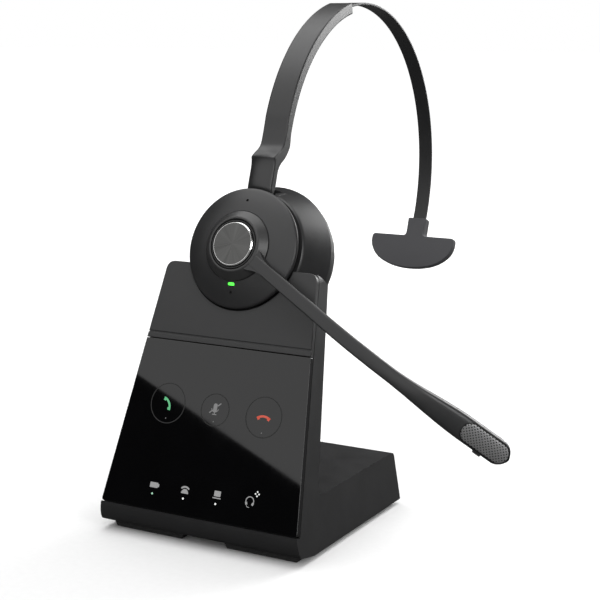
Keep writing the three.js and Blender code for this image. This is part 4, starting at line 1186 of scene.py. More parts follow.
    def electronics(self) -> None:
        """What is inside the base keeps its own node and gets its finish."""
        for node, finish in (("main_board", BOARD), ("touch_board", BOARD),
                             ("antenna_board", BOARD), ("ballast_plate", STEEL),
                             ("ringer_speaker", BLACK), ("key_light_guide", ACRYLIC)):
            dress_node(node, finish)
        for number in range(1, 5):
            softened(f"base_screw_{number}", Body.BASE, STEEL, 0.12, "plain_steel", 2, 40)

    def build(self) -> None:
        """Builds the whole base."""
        self.housing()
        self.plates()
        self.touch_sheet()
        self.marks.build()
        self.sockets()
        self.electronics()


def dress_node(node: str, finish: Finish) -> None:
    """Gives a CAD node that stays its finish."""
    item = frame["nodes"][node]
    item.data.materials.clear()
    item.data.materials.append(finish.material())


# ---------------------------------------------------------------------------- earcup
def turn_map(item: bpy.types.Object, axes: Axes) -> None:
    """Gives a turned piece a UV map of angle and radius, for its brushed sheen.

    Args:
        item: the piece, with its place in its mesh.
        axes: the axes that it is turned about.
    """
    back = axes.matrix().inverted()
    layer = item.data.uv_layers.new(name="turn")
    for face in item.data.polygons:
        middle = back @ face.center
        first = math.atan2(middle.y, middle.x)
        for loop in face.loop_indices:
            spot = back @ item.data.vertices[item.data.loops[loop].vertex_index].co
            angle = math.atan2(spot.y, spot.x) if spot.xy.length > 0.01 else first
            step = (angle - first + math.pi) % math.tau - math.pi
            layer.data[loop].uv = ((first + step) / math.tau, spot.xy.length / 30.0)


@dataclass
class TalkButton:
    """The brushed button in the hub's middle, with its bright edge.

    Args:
        radius: radius of the cap.
        face: height of its face.
        foot: height of its skirt's lower edge.
        edge: width of the bright edge.
        dish: how much the face is hollowed.
    """

    radius: float = 9.8
    face: float = 9.25
    foot: float = 7.1
    edge: float = 0.55
    dish: float = 0.12

    def build(self) -> None:
        """Builds the face, the bright edge and the skirt with its stem."""
        inner = self.radius - self.edge
        face = [(inner * share, self.face - self.dish * (1 - share ** 2))
                for share in (0.0, 0.25, 0.5, 0.75, 0.9, 1.0)]
        top = Form().turned([*face, (inner, self.face - 0.8), (0, self.face - 0.8)], 180)
        item = Piece("talk_button_face", Body.TALK, BUTTON, ("talk_button",),
                     "brushed_cap").place(top, HUB, 40)
        turn_map(item, HUB)
        edge = [(inner, self.face - 0.5), (inner, self.face + 0.02),
                (inner + 0.12, self.face + 0.03), (self.radius, self.face - 0.42),
                (self.radius, self.face - 0.62)]
        rim = Form().turned(edge, 180, True)
        Piece("talk_button_edge", Body.TALK, BRIGHT, slot="brushed_cap").place(rim, HUB, 30)
        skirt = Form().turned([(0, 3.3), (3.0, 3.3), (3.0, self.foot), (self.radius, self.foot),
                               (self.radius, self.face - 0.6), (0, self.face - 0.6)], 120)
        Piece("talk_button_skirt", Body.TALK, BLACK, slot="brushed_cap").place(skirt, HUB)


@dataclass
class EarCushion:
    """The stuffed leatherette ring that rests on the ear.

    Args:
        outer: radius of its outside.
        inner: radius of its hole.
        front: height of its flat seat.
        back: height of its crown.
        voxel: size of the simulation's cells.
        cap: furthest that the simulation moves a point.
    """

    outer: float = 33.0
    inner: float = 17.2
    front: float = -20.75
    back: float = -30.0
    voxel: float = 1.5
    cap: float = 1.4

    def start(self, slack: float) -> Form:
        """The ring's section turned into a closed ring, drawn in by a slack."""
        inner, outer = self.inner + slack, self.outer - slack
        low, high = self.back + slack, self.front - 0.2
        section = eased([(inner, high, 0.8), (outer, high, 0.8), (outer, low, 4.2),
                         (inner, low, 4.2)], steps=7)
        return Form().turned(section, 120, True)

    def simulated(self) -> bpy.types.Mesh:
        """The ring swollen by the cloth simulation, in millimetres on the hub's axes."""
        form = self.start(self.cap * 0.55)
        item = bpy.data.objects.new("swelling", form.mesh("swelling"))
        bpy.context.scene.collection.objects.link(item)
        item.scale = (0.01, 0.01, 0.01)
        bpy.context.view_layer.objects.active = item
        remesh = item.modifiers.new("voxels", "REMESH")
        remesh.mode, remesh.voxel_size = "VOXEL", self.voxel
        bpy.context.view_layer.update()
        mesh = bpy.data.meshes.new_from_object(
            item.evaluated_get(bpy.context.evaluated_depsgraph_get()))
        item.modifiers.clear()
        item.data = mesh
        before = [vert.co.copy() for vert in mesh.vertices]
        cloth = item.modifiers.new("cloth", "CLOTH")
        cloth.settings.use_pressure = True
        cloth.settings.uniform_pressure_force = 4.0
        cloth.settings.effector_weights.gravity = 0.0
        cloth.settings.tension_stiffness = cloth.settings.compression_stiffness = 12.0
        for number in range(1, 21):
            bpy.context.scene.frame_set(number)
        swollen = bpy.data.meshes.new_from_object(
            item.evaluated_get(bpy.context.evaluated_depsgraph_get()))
        bpy.context.scene.frame_set(1)
        for vert, rest in zip(swollen.vertices, before):
            move = vert.co - rest
            if move.length > self.cap:
                move *= self.cap / move.length
            seated = smooth(self.front - 1.0, self.front - 3.2, rest.z)
            vert.co = rest + move * (0.12 + 0.88 * seated)
            vert.co.z = min(vert.co.z, self.front)
            radius = vert.co.xy.length
            limit = min(max(radius, self.inner - 0.4), self.outer + 0.3)
            vert.co.x, vert.co.y = vert.co.x * limit / radius, vert.co.y * limit / radius
        bpy.data.objects.remove(item)
        return swollen

    def build(self) -> None:
        """Builds the ring and the piped seam that closes it against the drum."""
        form = Form()
        form.bm.from_mesh(self.simulated())
        bmesh.ops.smooth_vert(form.bm, verts=form.bm.verts, factor=0.5, use_axis_x=True,
                              use_axis_y=True, use_axis_z=True)
        item = Piece("ear_cushion_ring", Body.EARCUP, LEATHER, ("ear_cushion",),
                     "leatherette").place(form, HUB, 80, even=False)
        smoother = item.modifiers.new("smoother", "SUBSURF")
        smoother.levels = smoother.render_levels = 1
        seam = Form().turned(arc(self.outer - 1.0, self.front + 0.1, 0.62, 0, 330, 11), 140, True)
        Piece("ear_cushion_seam", Body.EARCUP, LEATHER, slot="leatherette").place(seam, HUB)


@dataclass
class Earcup:
    """The earcup: front disc, shells, drum, volume keys and what is inside.

    Args:
        radius: radius of the front disc.
        hub_radius: where the boom's hub starts.
        hub_base: height of the disc at the hub.
        rim: height of the disc at its rim.
        hole: radius of the hub's hole.
        light_at: distance of the status light below the centre.
        microphone_at: distance of the inner microphone's hole above the centre.
        sensor_at: distance of the sensor below the centre.
        drum_front, drum_back: radius of the drum at its two ends.
        drum_depth: length of the drum.
        key_at: distance of the volume keys' middle behind the drum's front.
        key_proud: how far the keys stand out of the drum.
    """

    radius: float = 27.1
    hub_radius: float = 15.6
    hub_base: float = 4.8
    rim: float = 0.8
    hole: float = 11.2
    light_at: float = 17.0
    microphone_at: float = 20.9
    sensor_at: float = 20.4
    drum_front: float = 27.8
    drum_back: float = 33.2
    drum_depth: float = 15.4
    key_at: float = 8.0
    key_proud: float = 0.7

    def face(self, radius: float) -> float:
        """Height of the disc's cone at a radius."""
        share = (radius - self.hub_radius) / (self.radius - self.hub_radius)
        return self.hub_base + (self.rim - self.hub_base) * share + 0.35 * math.sin(
            math.pi * min(1.0, max(0.0, share)))

    def disc(self) -> None:
        """The satin front disc, with its groove, light slot and two small holes."""
        start, edge, steps = self.hub_radius + 0.25, self.radius - 1.0, 10
        radii = [start + (edge - self.hub_radius - 0.25) * i / steps for i in range(steps + 1)]
        cone = [(radius, self.face(radius)) for radius in radii]
        drop = self.face(edge)
        profile = [(self.hole, self.hub_base), (self.hub_radius - 0.2, self.hub_base),
                   (self.hub_radius - 0.1, self.hub_base - 0.35),
                   (self.hub_radius + 0.1, self.hub_base - 0.38), *cone,
                   (self.radius - 0.55, drop - 0.26), (self.radius - 0.2, drop - 0.62),
                   (self.radius, drop - 1.15), (self.radius - 0.35, -1.45),
                   (self.radius - 0.5, -1.6), (self.radius - 1.5, -1.6),
                   (self.radius - 1.5, -0.3), (self.hub_radius + 0.6, 3.3), (self.hole, 3.3)]
        form = Form().turned(profile, 200, True)
        slot = Form().slab(round_box(3.5, 1.7, 0.8, 0, -self.light_at), 1, 9)
        upper = Form().pin(0, self.microphone_at, 0.4, 8, 0.62)
        lower = Form().pin(0, -self.sensor_at, 0.4, 8, 0.6)
        form.carved(slot, upper, lower)
        Piece("front_disc", Body.EARCUP, SATIN, ("front_shell",), "shell_satin").place(
            form, HUB, 28)

    def lights(self) -> None:
        """The green status light and the small sensor under it."""
        lean = Matrix.Rotation(math.radians(19.2), 4, "X")
        light = Form().slab(round_box(3.1, 1.3, 0.62), -2.6, -0.05).bevelled(0.18, 3, 40)
        light.through(Matrix.Translation((0, -self.light_at, self.face(self.light_at))) @ lean)
        Piece("status_light", Body.EARCUP, GREEN_LIGHT, ("status_light_pipe",),
              "status_light").place(light, HUB)
        sensor = Form().pin(0, 0, -1.6, -0.35, 0.55, 24)
        sensor.through(Matrix.Translation((0, -self.sensor_at, self.face(self.sensor_at))) @ lean)
        Piece("front_sensor", Body.EARCUP, SOCKET, slot="shell_satin").place(sensor, HUB)

    def volume_keys(self) -> None:
        """The two volume keys on the drum, each with its raised mark."""
        for node, body, angle, plus in (("volume_up_key", Body.VOLUME_UP, 148, True),
                                        ("volume_down_key", Body.VOLUME_DOWN, 170, False)):
            softened(node, body, KEY, 0.35, "key_plastic", 3, 40)
            rim = (self.drum_front + self.key_at * (self.drum_back - self.drum_front)
                   / self.drum_depth + self.key_proud)
            outward = Vector((math.cos(math.radians(angle)), math.sin(math.radians(angle)), 0))
            along = Vector((-outward.y, outward.x, 0))
            facing = Matrix((along, Vector((0, 0, 1)), outward)).transposed().to_4x4()
            form = Form().slab(round_box(1.8, 0.36, 0.15), rim - 0.1, rim + 0.14)
            if plus:
                form.slab(round_box(0.36, 1.8, 0.15), rim - 0.1, rim + 0.14)
            form.through(Matrix.Translation((0, 0, -13)) @ facing)
            Piece(f"{node}_mark", body, PAD, slot="key_plastic").place(form, HUB)

    def shells(self) -> None:
        """The rear shell, drum, bushing, screws and charge pads, and what the shells hold."""
        softened("rear_shell", Body.EARCUP, BLACK, 0.2, "shell_satin", 2, 40)
        softened("speaker_housing", Body.EARCUP, SATIN, 0.35, "shell_satin", 3, 25)
        softened("ball_socket", Body.EARCUP, BLACK, 0.2, "inner_plastic", 2, 40)
        softened("cushion_ring", Body.EARCUP, BLACK, 0.15, "inner_plastic", 2, 40)
        ring = Form().turned([(10.1, 2.0), (12.9, 2.0), (12.9, 3.0), (10.9, 3.0), (10.9, 8.3),
                              (10.72, 8.5), (10.25, 8.5), (10.1, 8.3)], 140, True)
        Piece("hub_bushing_ring", Body.EARCUP, BLACK, ("hub_bushing",), "inner_plastic").place(
            ring, HUB)
        for side in ("left", "right"):
            softened(f"charge_pad_{side}", Body.EARCUP, GOLD, 0.2, "contact_gold", 2, 40)
        for number in range(1, 4):
            softened(f"cup_screw_{number}", Body.EARCUP, STEEL, 0.1, "plain_steel", 2, 40)
        for node, finish in (("headset_board", BOARD), ("talk_switch", STEEL), ("battery", FOIL),
                             ("speaker_driver", STEEL), ("speaker_baffle", BLACK)):
            dress_node(node, finish)

    def cloth(self) -> None:
        """The thin woven disc stretched over the speaker, drawn in a little at its middle."""
        steps = 12
        profile = [(17.6 * i / steps, -22.05 - 0.5 * (i / steps) ** 2) for i in range(steps + 1)]
        under = [(radius, height + 0.25) for radius, height in reversed(profile)]
        form = Form().turned([*profile, *under], 120)
        Piece("speaker_cloth", Body.EARCUP, CLOTH, slot="leatherette").place(form, HUB, even=False)

    def build(self) -> None:
        """Builds the earcup."""
        self.disc()
        self.lights()
        self.shells()
        self.volume_keys()
        self.cloth()
        TalkButton().build()
        EarCushion().build()


# ---------------------------------------------------------------------------- boom
@dataclass
class Boom:
    """The microphone boom, with its hub ring, covers, microphone and mute key.

    Args:
        straight: distance from the hub's axis to where the bend starts.
        bend_radius: radius of the bend.
        bend: angle of the bend, in degrees.
        length: length along the centreline.
        outer_face: height of the straight part's outer face.
        widths: width at the hub, at the middle and at the tip.
        depths: thickness at the hub and at the tip.
        split: share of the half-thickness where the inner cover begins.
        hole: radius of the hub ring's hole.
        crown: how far the outer face rises along its middle near the tip.
    """

    straight: float = 56.0
    bend_radius: float = 88.0
    bend: float = 37.0
    length: float = 153.6
    outer_face: float = 8.4
    widths: tuple[float, float, float] = (5.5, 6.0, 10.8)
    depths: tuple[float, float] = (3.3, 5.6)
    split: float = -0.45
    hole: float = 11.2
    crown: float = 0.75

    def line(self, length: float) -> tuple[float, float, float]:
        """Centreline of the boom.

        Args:
            length: distance along it.

        Returns:
            Distance from the hub's axis, height, and the tilt in radians.
        """
        height = self.outer_face - self.depths[0] / 2
        if length <= self.straight:
            return length, height, 0.0
        tilt = min((length - self.straight) / self.bend_radius, math.radians(self.bend))
        rest = length - self.straight - self.bend_radius * tilt
        return (self.straight + self.bend_radius * math.sin(tilt) + rest * math.cos(tilt),
                height - self.bend_radius * (1 - math.cos(tilt)) - rest * math.sin(tilt), tilt)

    def half_depth(self, length: float) -> float:
        """Half of the thickness at a length."""
        grown = (self.depths[1] - self.depths[0]) / 2
        return self.depths[0] / 2 + grown * smooth(30, self.length - 25, length)

    def half_width(self, length: float) -> float:
        """Half of the width at a length."""
        root, middle, tip = (width / 2 for width in self.widths)
        return (root + (middle - root) * smooth(10, self.length - 60, length)
                + (tip - middle) * smooth(self.length - 62, self.length - 22, length))

    def layer(self, start: float, end: float, low: float, high: float, inset: float,
              rounding: tuple[float, float, float] = (0.5, 0.5, 0.5), along: int = 96,
              round_start: bool = False, crowned: bool = False) -> Form:
        """A layer of the boom as a closed form.

        Args:
            start, end: lengths along the centreline where it begins and ends.
            low, high: its sides, as shares of the half-thickness.
            inset: how much narrower it is than the boom on each side.
            rounding: corner radius at the hub, along the middle and at the tip.
            along: number of sections.
            round_start: whether its start is rounded as its end is.
            crowned: whether its outer face rises along its middle near the tip.

        Returns:
            The layer on the boom's own axes.
        """
        corner_steps, across = 5, 8
        around = 4 * (corner_steps + 1) + across - 1
        tip = self.half_width(end) - inset
        turn = 0.3

        def place(u: float, v: float) -> Vector:
            """Point of the layer's skin."""
            if u > 1 - turn:
                part = (u - 1 + turn) / turn
                length = end - tip + tip * math.sin(part * math.pi / 2)
            else:
                length = start + (end - tip - start) * u / (1 - turn)
            if round_start and u < turn:
                part = 1 - u / turn
                length = start + tip * (1 - math.sin(part * math.pi / 2))
            elif round_start and u <= 1 - turn:
                length = start + tip + (end - 2 * tip - start) * (u - turn) / (1 - 2 * turn)
            x, height, tilt = self.line(length)
            half = self.half_width(length) - inset
            over = max(0.0, (length - (end - tip)) / tip)
            half *= math.sqrt(max(0.0, 1 - min(1.0, over) ** 2))
            if round_start:
                under = max(0.0, (start + tip - length) / tip)
                half *= math.sqrt(max(0.0, 1 - min(1.0, under) ** 2))
            half = max(half, 0.02)
            deep = self.half_depth(length)
            bottom, top = low * deep, high * deep
            ease = (rounding[0] + (rounding[1] - rounding[0]) * smooth(20, 60, length)
                    + (rounding[2] - rounding[1]) * smooth(self.length - 60, self.length - 20,
                                                           length))
            section = round_box(2 * half, top - bottom, min(ease, 0.49 * (top - bottom),
                                                            0.95 * half), 0,
                                (top + bottom) / 2, corner_steps)
            last, first = section[3 * (corner_steps + 1) - 1], section[3 * (corner_steps + 1)]
            middle = [(last[0] + (first[0] - last[0]) * k / across, last[1])
                      for k in range(1, across)]
            section[3 * (corner_steps + 1):3 * (corner_steps + 1)] = middle
            y, z = section[round(v * around) % around]
            if crowned and z > (top + bottom) / 2:
                z += (self.crown * smooth(self.length - 90, self.length - 30, length)
                      * (max(0.0, 1 - (y / (self.half_width(length) + 0.01)) ** 2) - 0.35))
            return Vector((x + z * math.sin(tilt), y, height + z * math.cos(tilt)))

        return Form().skin(along, around, place)

    def arm(self) -> None:
        """The outer shell, with the seat of the microphone's grille cut into it."""
        form = self.layer(self.hole + 0.7, self.length, self.split, 1, 0, (0.5, 0.8, 2.2), 150,
                          crowned=True)
        seat = self.layer(self.length - 24.3, self.length - 0.5, 0.55, 1.6, 0.75,
                          (0.3, 0.3, 0.3), 80, True)
        form.carved(seat)
        root = Form().block((self.hole + 1.0, -2.7, 5.2), (27.5, 2.7, 7.6))
        form.joined(root.bevelled(0.4, 2))
        Piece("boom_shell", Body.BOOM, SATIN, ("boom_arm",), "shell_satin").place(form, BOOM, 34)

    def ring(self) -> None:
        """The hub ring, a polished cone that the boom grows from."""
        profile = [(self.hole, 5.1), (15.42, 5.1), (15.5, 5.25), (14.6, 6.25), (13.6, 7.25),
                   (12.75, 8.15), (12.4, 8.5), (12.05, 8.68), (11.5, 8.7), (11.3, 8.6),
                   (self.hole, 8.4)]
        form = Form().turned(profile, 180, True)
        item = Piece("boom_hub_ring", Body.BOOM, HUB_RING, slot="shell_satin").place(form, HUB, 30)
        turn_map(item, HUB)
        for side in (-1, 1):
            web = Form().slab([(11.9, side * 2.4), (11.45, side * 5.3), (13.1, side * 4.9),
                               (14.9, side * 3.95), (16.6, side * 3.25), (18.6, side * 2.85),
                               (21.0, side * 2.55), (23.0, side * 2.3)], 5.2,
                              8.0 if side > 0 else 8.36)
            web.bevelled(0.4, 3, 40)
            Piece(f"boom_root_{'upper' if side > 0 else 'lower'}", Body.BOOM, SATIN,
                  slot="shell_satin").place(web, BOOM)

    def cover(self) -> None:
        """The inner cover, with a parting line between it and the shell."""
        form = self.layer(32.1, self.length - 0.9, -1.0, self.split - 0.16, 0.2,
                          (0.4, 0.5, 1.2), 120)
        Piece("boom_inner_cover", Body.BOOM, BLACK, ("boom_cover",), "inner_plastic").place(
            form, BOOM, 34)
        dress_node("boom_flex", BOARD)
        dress_node("mic_capsule", STEEL)

    def grille(self) -> None:
        """The perforated plate over the microphone, laid out by its own UV map."""
        form = self.layer(self.length - 23.9, self.length - 0.9, 0.6, 0.98, 1.1,
                          (0.7, 0.7, 0.7), 90, True, True)
        item = Piece("mic_grille_plate", Body.BOOM, GRILLE, ("mic_grille",),
                     "grille_metal").place(form, BOOM, 50, even=False)
        back = BOOM.matrix().inverted()
        layer = item.data.uv_layers.new(name="sheet")
        x0, z0, tilt = self.line(self.length - 12)
        for loop in item.data.loops:
            spot = back @ item.data.vertices[loop.vertex_index].co
            along = (spot.x - x0) * math.cos(tilt) - (spot.z - z0) * math.sin(tilt)
            layer.data[loop.index].uv = (along, spot.y)

    def mute_key(self) -> None:
        """The mute key as a softened copy."""
        softened("mute_button", Body.MUTE, KEY, 0.3, "key_plastic", 3, 40)

    def build(self) -> None:
        """Builds the boom."""
        self.arm()
        self.ring()
        self.cover()
        self.grille()
        self.mute_key()


# ---------------------------------------------------------------------------- headband
@dataclass
class Headband:
    """The headband: stem, arm, cover, sliding strip and ball.

    Args:
        centre: depth behind the disc and height of the band's centre.
        radius: radius of the arm's outside.
        thickness: thickness of the arm.
        width: width of the arm.
        arm_end: angle where the arm ends, round the band.
        strip_centre: centre of the strip's own circle.
        strip_radius: radius of the strip's middle.
        strip_width: width of the strip.
        strip_thickness: thickness of the strip.
        strip_from, strip_to: angles where the strip starts and ends.
        stem: outer depth and height, inner depth and height, and bulge up the stem.
    """

    centre: Point = (93.6, 60.0)
    radius: float = 85.0
    thickness: float = 5.4
    width: float = 12.4
    arm_end: float = 57.5
    strip_centre: Point = (95.3, 60.5)
    strip_radius: float = 83.1
    strip_width: float = 7.6
    strip_thickness: float = 1.2
    strip_from: float = 30.5
    strip_to: float = 186.0
    stem: tuple[tuple[float, ...], ...] = (
        (5.2, 26.6, 7.6, 26.6, 1.2), (4.6, 28.2, 8.3, 28.2, 1.8), (4.4, 30.0, 8.6, 30.0, 2.0),
        (4.3, 34.0, 8.4, 34.0, 2.0), (4.2, 38.0, 8.3, 37.2, 2.0), (3.7, 40.6, 8.8, 39.4, 1.9),
        (3.1, 42.0, 9.7, 41.2, 1.6), (3.0, 42.3, 9.9, 41.5, 1.2), (3.6, 43.3, 11.2, 43.0, 0.3),
        (5.1, 45.0, 12.6, 44.8, 0.0), (7.3, 47.3, 14.0, 47.6, 0.0), (8.8, 50.2, 14.9, 51.0, 0.0))

    @staticmethod
    def spot(centre: Point, radius: float, angle: float) -> Point:
        """Depth and height of a point round a circle of the band."""
        return (centre[0] - radius * math.cos(math.radians(angle)),
                centre[1] + radius * math.sin(math.radians(angle)))

    def stations(self) -> list[list[float]]:
        """Outer and inner points of the arm from the stem up, with the front's bulge."""
        stem = [list(row) for row in self.stem]
        for i in range(25):
            angle = -3 + (self.arm_end + 3) * i / 24
            outer = self.spot(self.centre, self.radius, angle)
            inner = self.spot(self.centre, self.radius - self.thickness, angle)
            if angle < 1:
                outer, inner = (outer[0] + 0.25, outer[1]), (inner[0], inner[1])
            stem.append([*outer, *inner, 0.0])
        return stem

    def loft(self, stations: Sequence[Sequence[float]], width: float, corner: float,
             steps: int = 4) -> Form:
        """A strip lofted through its stations.

        Args:
            stations: outer depth and height, inner depth and height, and bulge of each.
            width: width across.
            corner: rounding of its long edges.
            steps: number of faces in a rounding.

        Returns:
            The closed form on the hub's axes.
        """
        around = 4 * (steps + 1) + 8
        count = len(stations) - 1

        def place(u: float, v: float) -> Vector:
            """Point of the strip's skin."""
            outer_n, outer_s, inner_n, inner_s, bulge = stations[round(u * count)]
            span = math.hypot(outer_n - inner_n, outer_s - inner_s)
            section = round_box(width, span, corner, 0, span / 2, steps)
            first = section[3 * (steps + 1)]
            front = section[3 * (steps + 1) - 1]
            middle = [(front[0] + (first[0] - front[0]) * k / 9, front[1]) for k in range(1, 9)]
            loop = [*section[:3 * (steps + 1)], *middle, *section[3 * (steps + 1):]]
            x, across = loop[round(v * around) % around]
            share = across / span
            n = inner_n + (outer_n - inner_n) * share
            s = inner_s + (outer_s - inner_s) * share
            lift = bulge * share * max(0.0, 1 - (x / (width / 2)) ** 2)
            run = Vector((outer_n - inner_n, outer_s - inner_s)).normalized() * lift
            return Vector((x, s + run.y, -(n + run.x)))

        return Form().skin(count, around, place)

    def arm(self) -> None:
        """The stem and arm, cut for the inner cover and the strip."""
        line = spline(self.stations(), 4)
        form = self.loft(line, self.width, 0.9)
        channel = self.sector(self.strip_centre, self.strip_radius - 0.9, self.strip_radius + 0.9,
                              self.strip_from - 9.5, self.arm_end + 4, self.strip_width + 0.8)
        seat = self.sector(self.centre, self.radius - self.thickness - 3,
                           self.radius - self.thickness + 1.5, 8, self.arm_end + 4,
                           self.width - 2.4)
        form.carved(channel, seat)
        shank = Form().pin(0, 6.3, 24.4, 27.2, 1.2)
        shank.through(Matrix.Rotation(math.radians(-90), 4, "X"))
        form.joined(shank)
        Piece("headband_arm_shell", Body.HEADBAND, SATIN, ("headband_arm",),
              "shell_satin").place(form, HUB, 30)

    def sector(self, centre: Point, inner: float, outer: float, start: float, end: float,
               width: float, corner: float = 0.0, steps: int = 48) -> Form:
        """A stretch of a circle of the band as a closed form."""
        stations = []
        for i in range(steps + 1):
            angle = start + (end - start) * i / steps
            stations.append([*self.spot(centre, outer, angle), *self.spot(centre, inner, angle),
                             0.0])
        return self.loft(stations, width, max(corner, 0.01), 3)

    def strip(self) -> None:
        """The steel strip, its edges eased."""
        half = self.strip_thickness / 2
        form = self.sector(self.strip_centre, self.strip_radius - half, self.strip_radius + half,
                           self.strip_from, self.strip_to, self.strip_width, 0.4, 110)
        Piece("headband_strip", Body.SLIDER, STRIP, ("slider_strip",), "strip_steel").place(
            form, HUB, 40)

    def cover(self) -> None:
        """The arm's inner cover."""
        inner = self.radius - self.thickness
        form = self.sector(self.centre, inner, inner + 1.25, 8.3, self.arm_end - 0.3,
                           self.width - 2.8, 0.35)
        Piece("headband_arm_lining", Body.HEADBAND, BLACK, ("headband_arm_cover",),
              "shell_satin").place(form, HUB, 40)

    def ball(self) -> None:
        """The steel ball at the stem's foot."""
        form = Form().ball(0, 22.0, -6.3, 2.2)
        Piece("stem_ball_joint", Body.BALL, STEEL, ("stem_ball",), "plain_steel").place(form, HUB)

    def build(self) -> None:
        """Builds the headband."""
        self.arm()
        self.strip()
        self.cover()
        self.ball()


@dataclass
class HeadPad:
    """The T-shaped rubber pad at the band's far end, on its frame.

    Args:
        width: width of the pad.
        offset: how far its middle lies to one side.
        top, bottom: its upper and lower edge above the hub's centre.
        face: depth of its soft face behind the disc.
        soft: thickness of the soft part.
        neck: width of the neck.
        neck_top: height of the neck's top.
    """

    width: float = 49.0
    offset: float = -1.1
    top: float = 47.0
    bottom: float = 28.9
    face: float = 175.0
    soft: float = 3.6
    neck: float = 10.5
    neck_top: float = 57.0

    def outline(self, inset: float, with_neck: bool) -> list[Point]:
        """Outline of the pad, drawn in by an inset.

        Args:
            inset: how far it is drawn in.
            with_neck: whether the neck is part of it.

        Returns:
            The outline's points in order.
        """
        left = self.offset - self.width / 2 + inset
        right = self.offset + self.width / 2 - inset
        top, bottom, corner = self.top - inset, self.bottom + inset, 4.5
        quarter = self.width / 4.8

        def curve(a: Point, b: Point, c: Point, d: Point, steps: int = 16) -> list[Point]:
            """Points of a curve with two handles."""
            return [tuple((1 - t) ** 3 * p + 3 * t * (1 - t) ** 2 * q + 3 * t * t * (1 - t) * r
                          + t ** 3 * s for p, q, r, s in zip(a, b, c, d))
                    for t in (i / steps for i in range(steps + 1))]

        lower = [*curve((left, top - corner), (left + 2, bottom + 3),
                        (self.offset - quarter, bottom), (self.offset, bottom)),
                 *curve((self.offset, bottom), (self.offset + quarter, bottom),
                        (right - 2, bottom + 3), (right, top - corner))[1:]]
        half = self.neck / 2 - inset * 0.3
        upper = [(right, top - corner, 0.0), (right, top, corner)]
        if with_neck:
            upper += [(half, top, 1.8), (half, self.neck_top, 0.8), (-half, self.neck_top, 0.8),
                      (-half, top, 1.8)]
        upper += [(left, top, corner), (left, top - corner, 0.0)]
        rounded = eased(upper, closed=False, steps=8)
        return [*lower[:-1], *rounded[:-1]]

    def crown(self, form: Form) -> None:
        """Raises the soft face towards its middle.

        Args:
            form: the pad, whose face is cut into a grid first.
        """
        span = self.width / 2
        for axis, cuts in ((0, 24), (1, 16)):
            normal = Vector((1, 0, 0)) if axis == 0 else Vector((0, 1, 0))
            low, high = ((self.offset - span, self.offset + span) if axis == 0
                         else (self.bottom, self.neck_top))
            for cut in range(1, cuts):
                spot = low + (high - low) * cut / cuts
                bmesh.ops.bisect_plane(form.bm, dist=0.001, plane_co=normal * spot,
                                       plane_no=normal,
                                       geom=[*form.bm.verts, *form.bm.edges, *form.bm.faces])
        for vert in form.bm.verts:
            if vert.co.z > -self.face - 0.05:
                side = 1 - min(1.0, abs(vert.co.x - self.offset) / span) ** 2
                height = min(1.0, max(0.0, (vert.co.y - self.bottom) / (self.top - self.bottom)))
                vert.co.z += 0.75 * side * math.sin(math.pi * min(height, 0.62) * 0.8)

    def build(self) -> None:
        """Builds the soft face with its crown, and the frame behind it."""
        form = Form().slab(self.outline(0, True), -self.face - self.soft, -self.face)
        form.bevelled(1.1, 4, 40, lambda middle: middle.z > -self.face - 0.2)
        self.crown(form)
        item = Piece("t_pad_soft", Body.SLIDER, PAD, ("t_pad_cushion",), "pad_rubber").place(
            form, HUB, 40)
        back = -self.face - self.soft
        frame_form = Form().slab(self.outline(1.2, True), back - 2.6, back - 0.1)
        frame_form.bevelled(0.7, 3, 40, lambda middle: middle.z < back - 2.4)
        Piece("t_pad_back", Body.SLIDER, PAD_SHELL, ("t_pad_frame",), "pad_plastic").place(
            frame_form, HUB, 40)


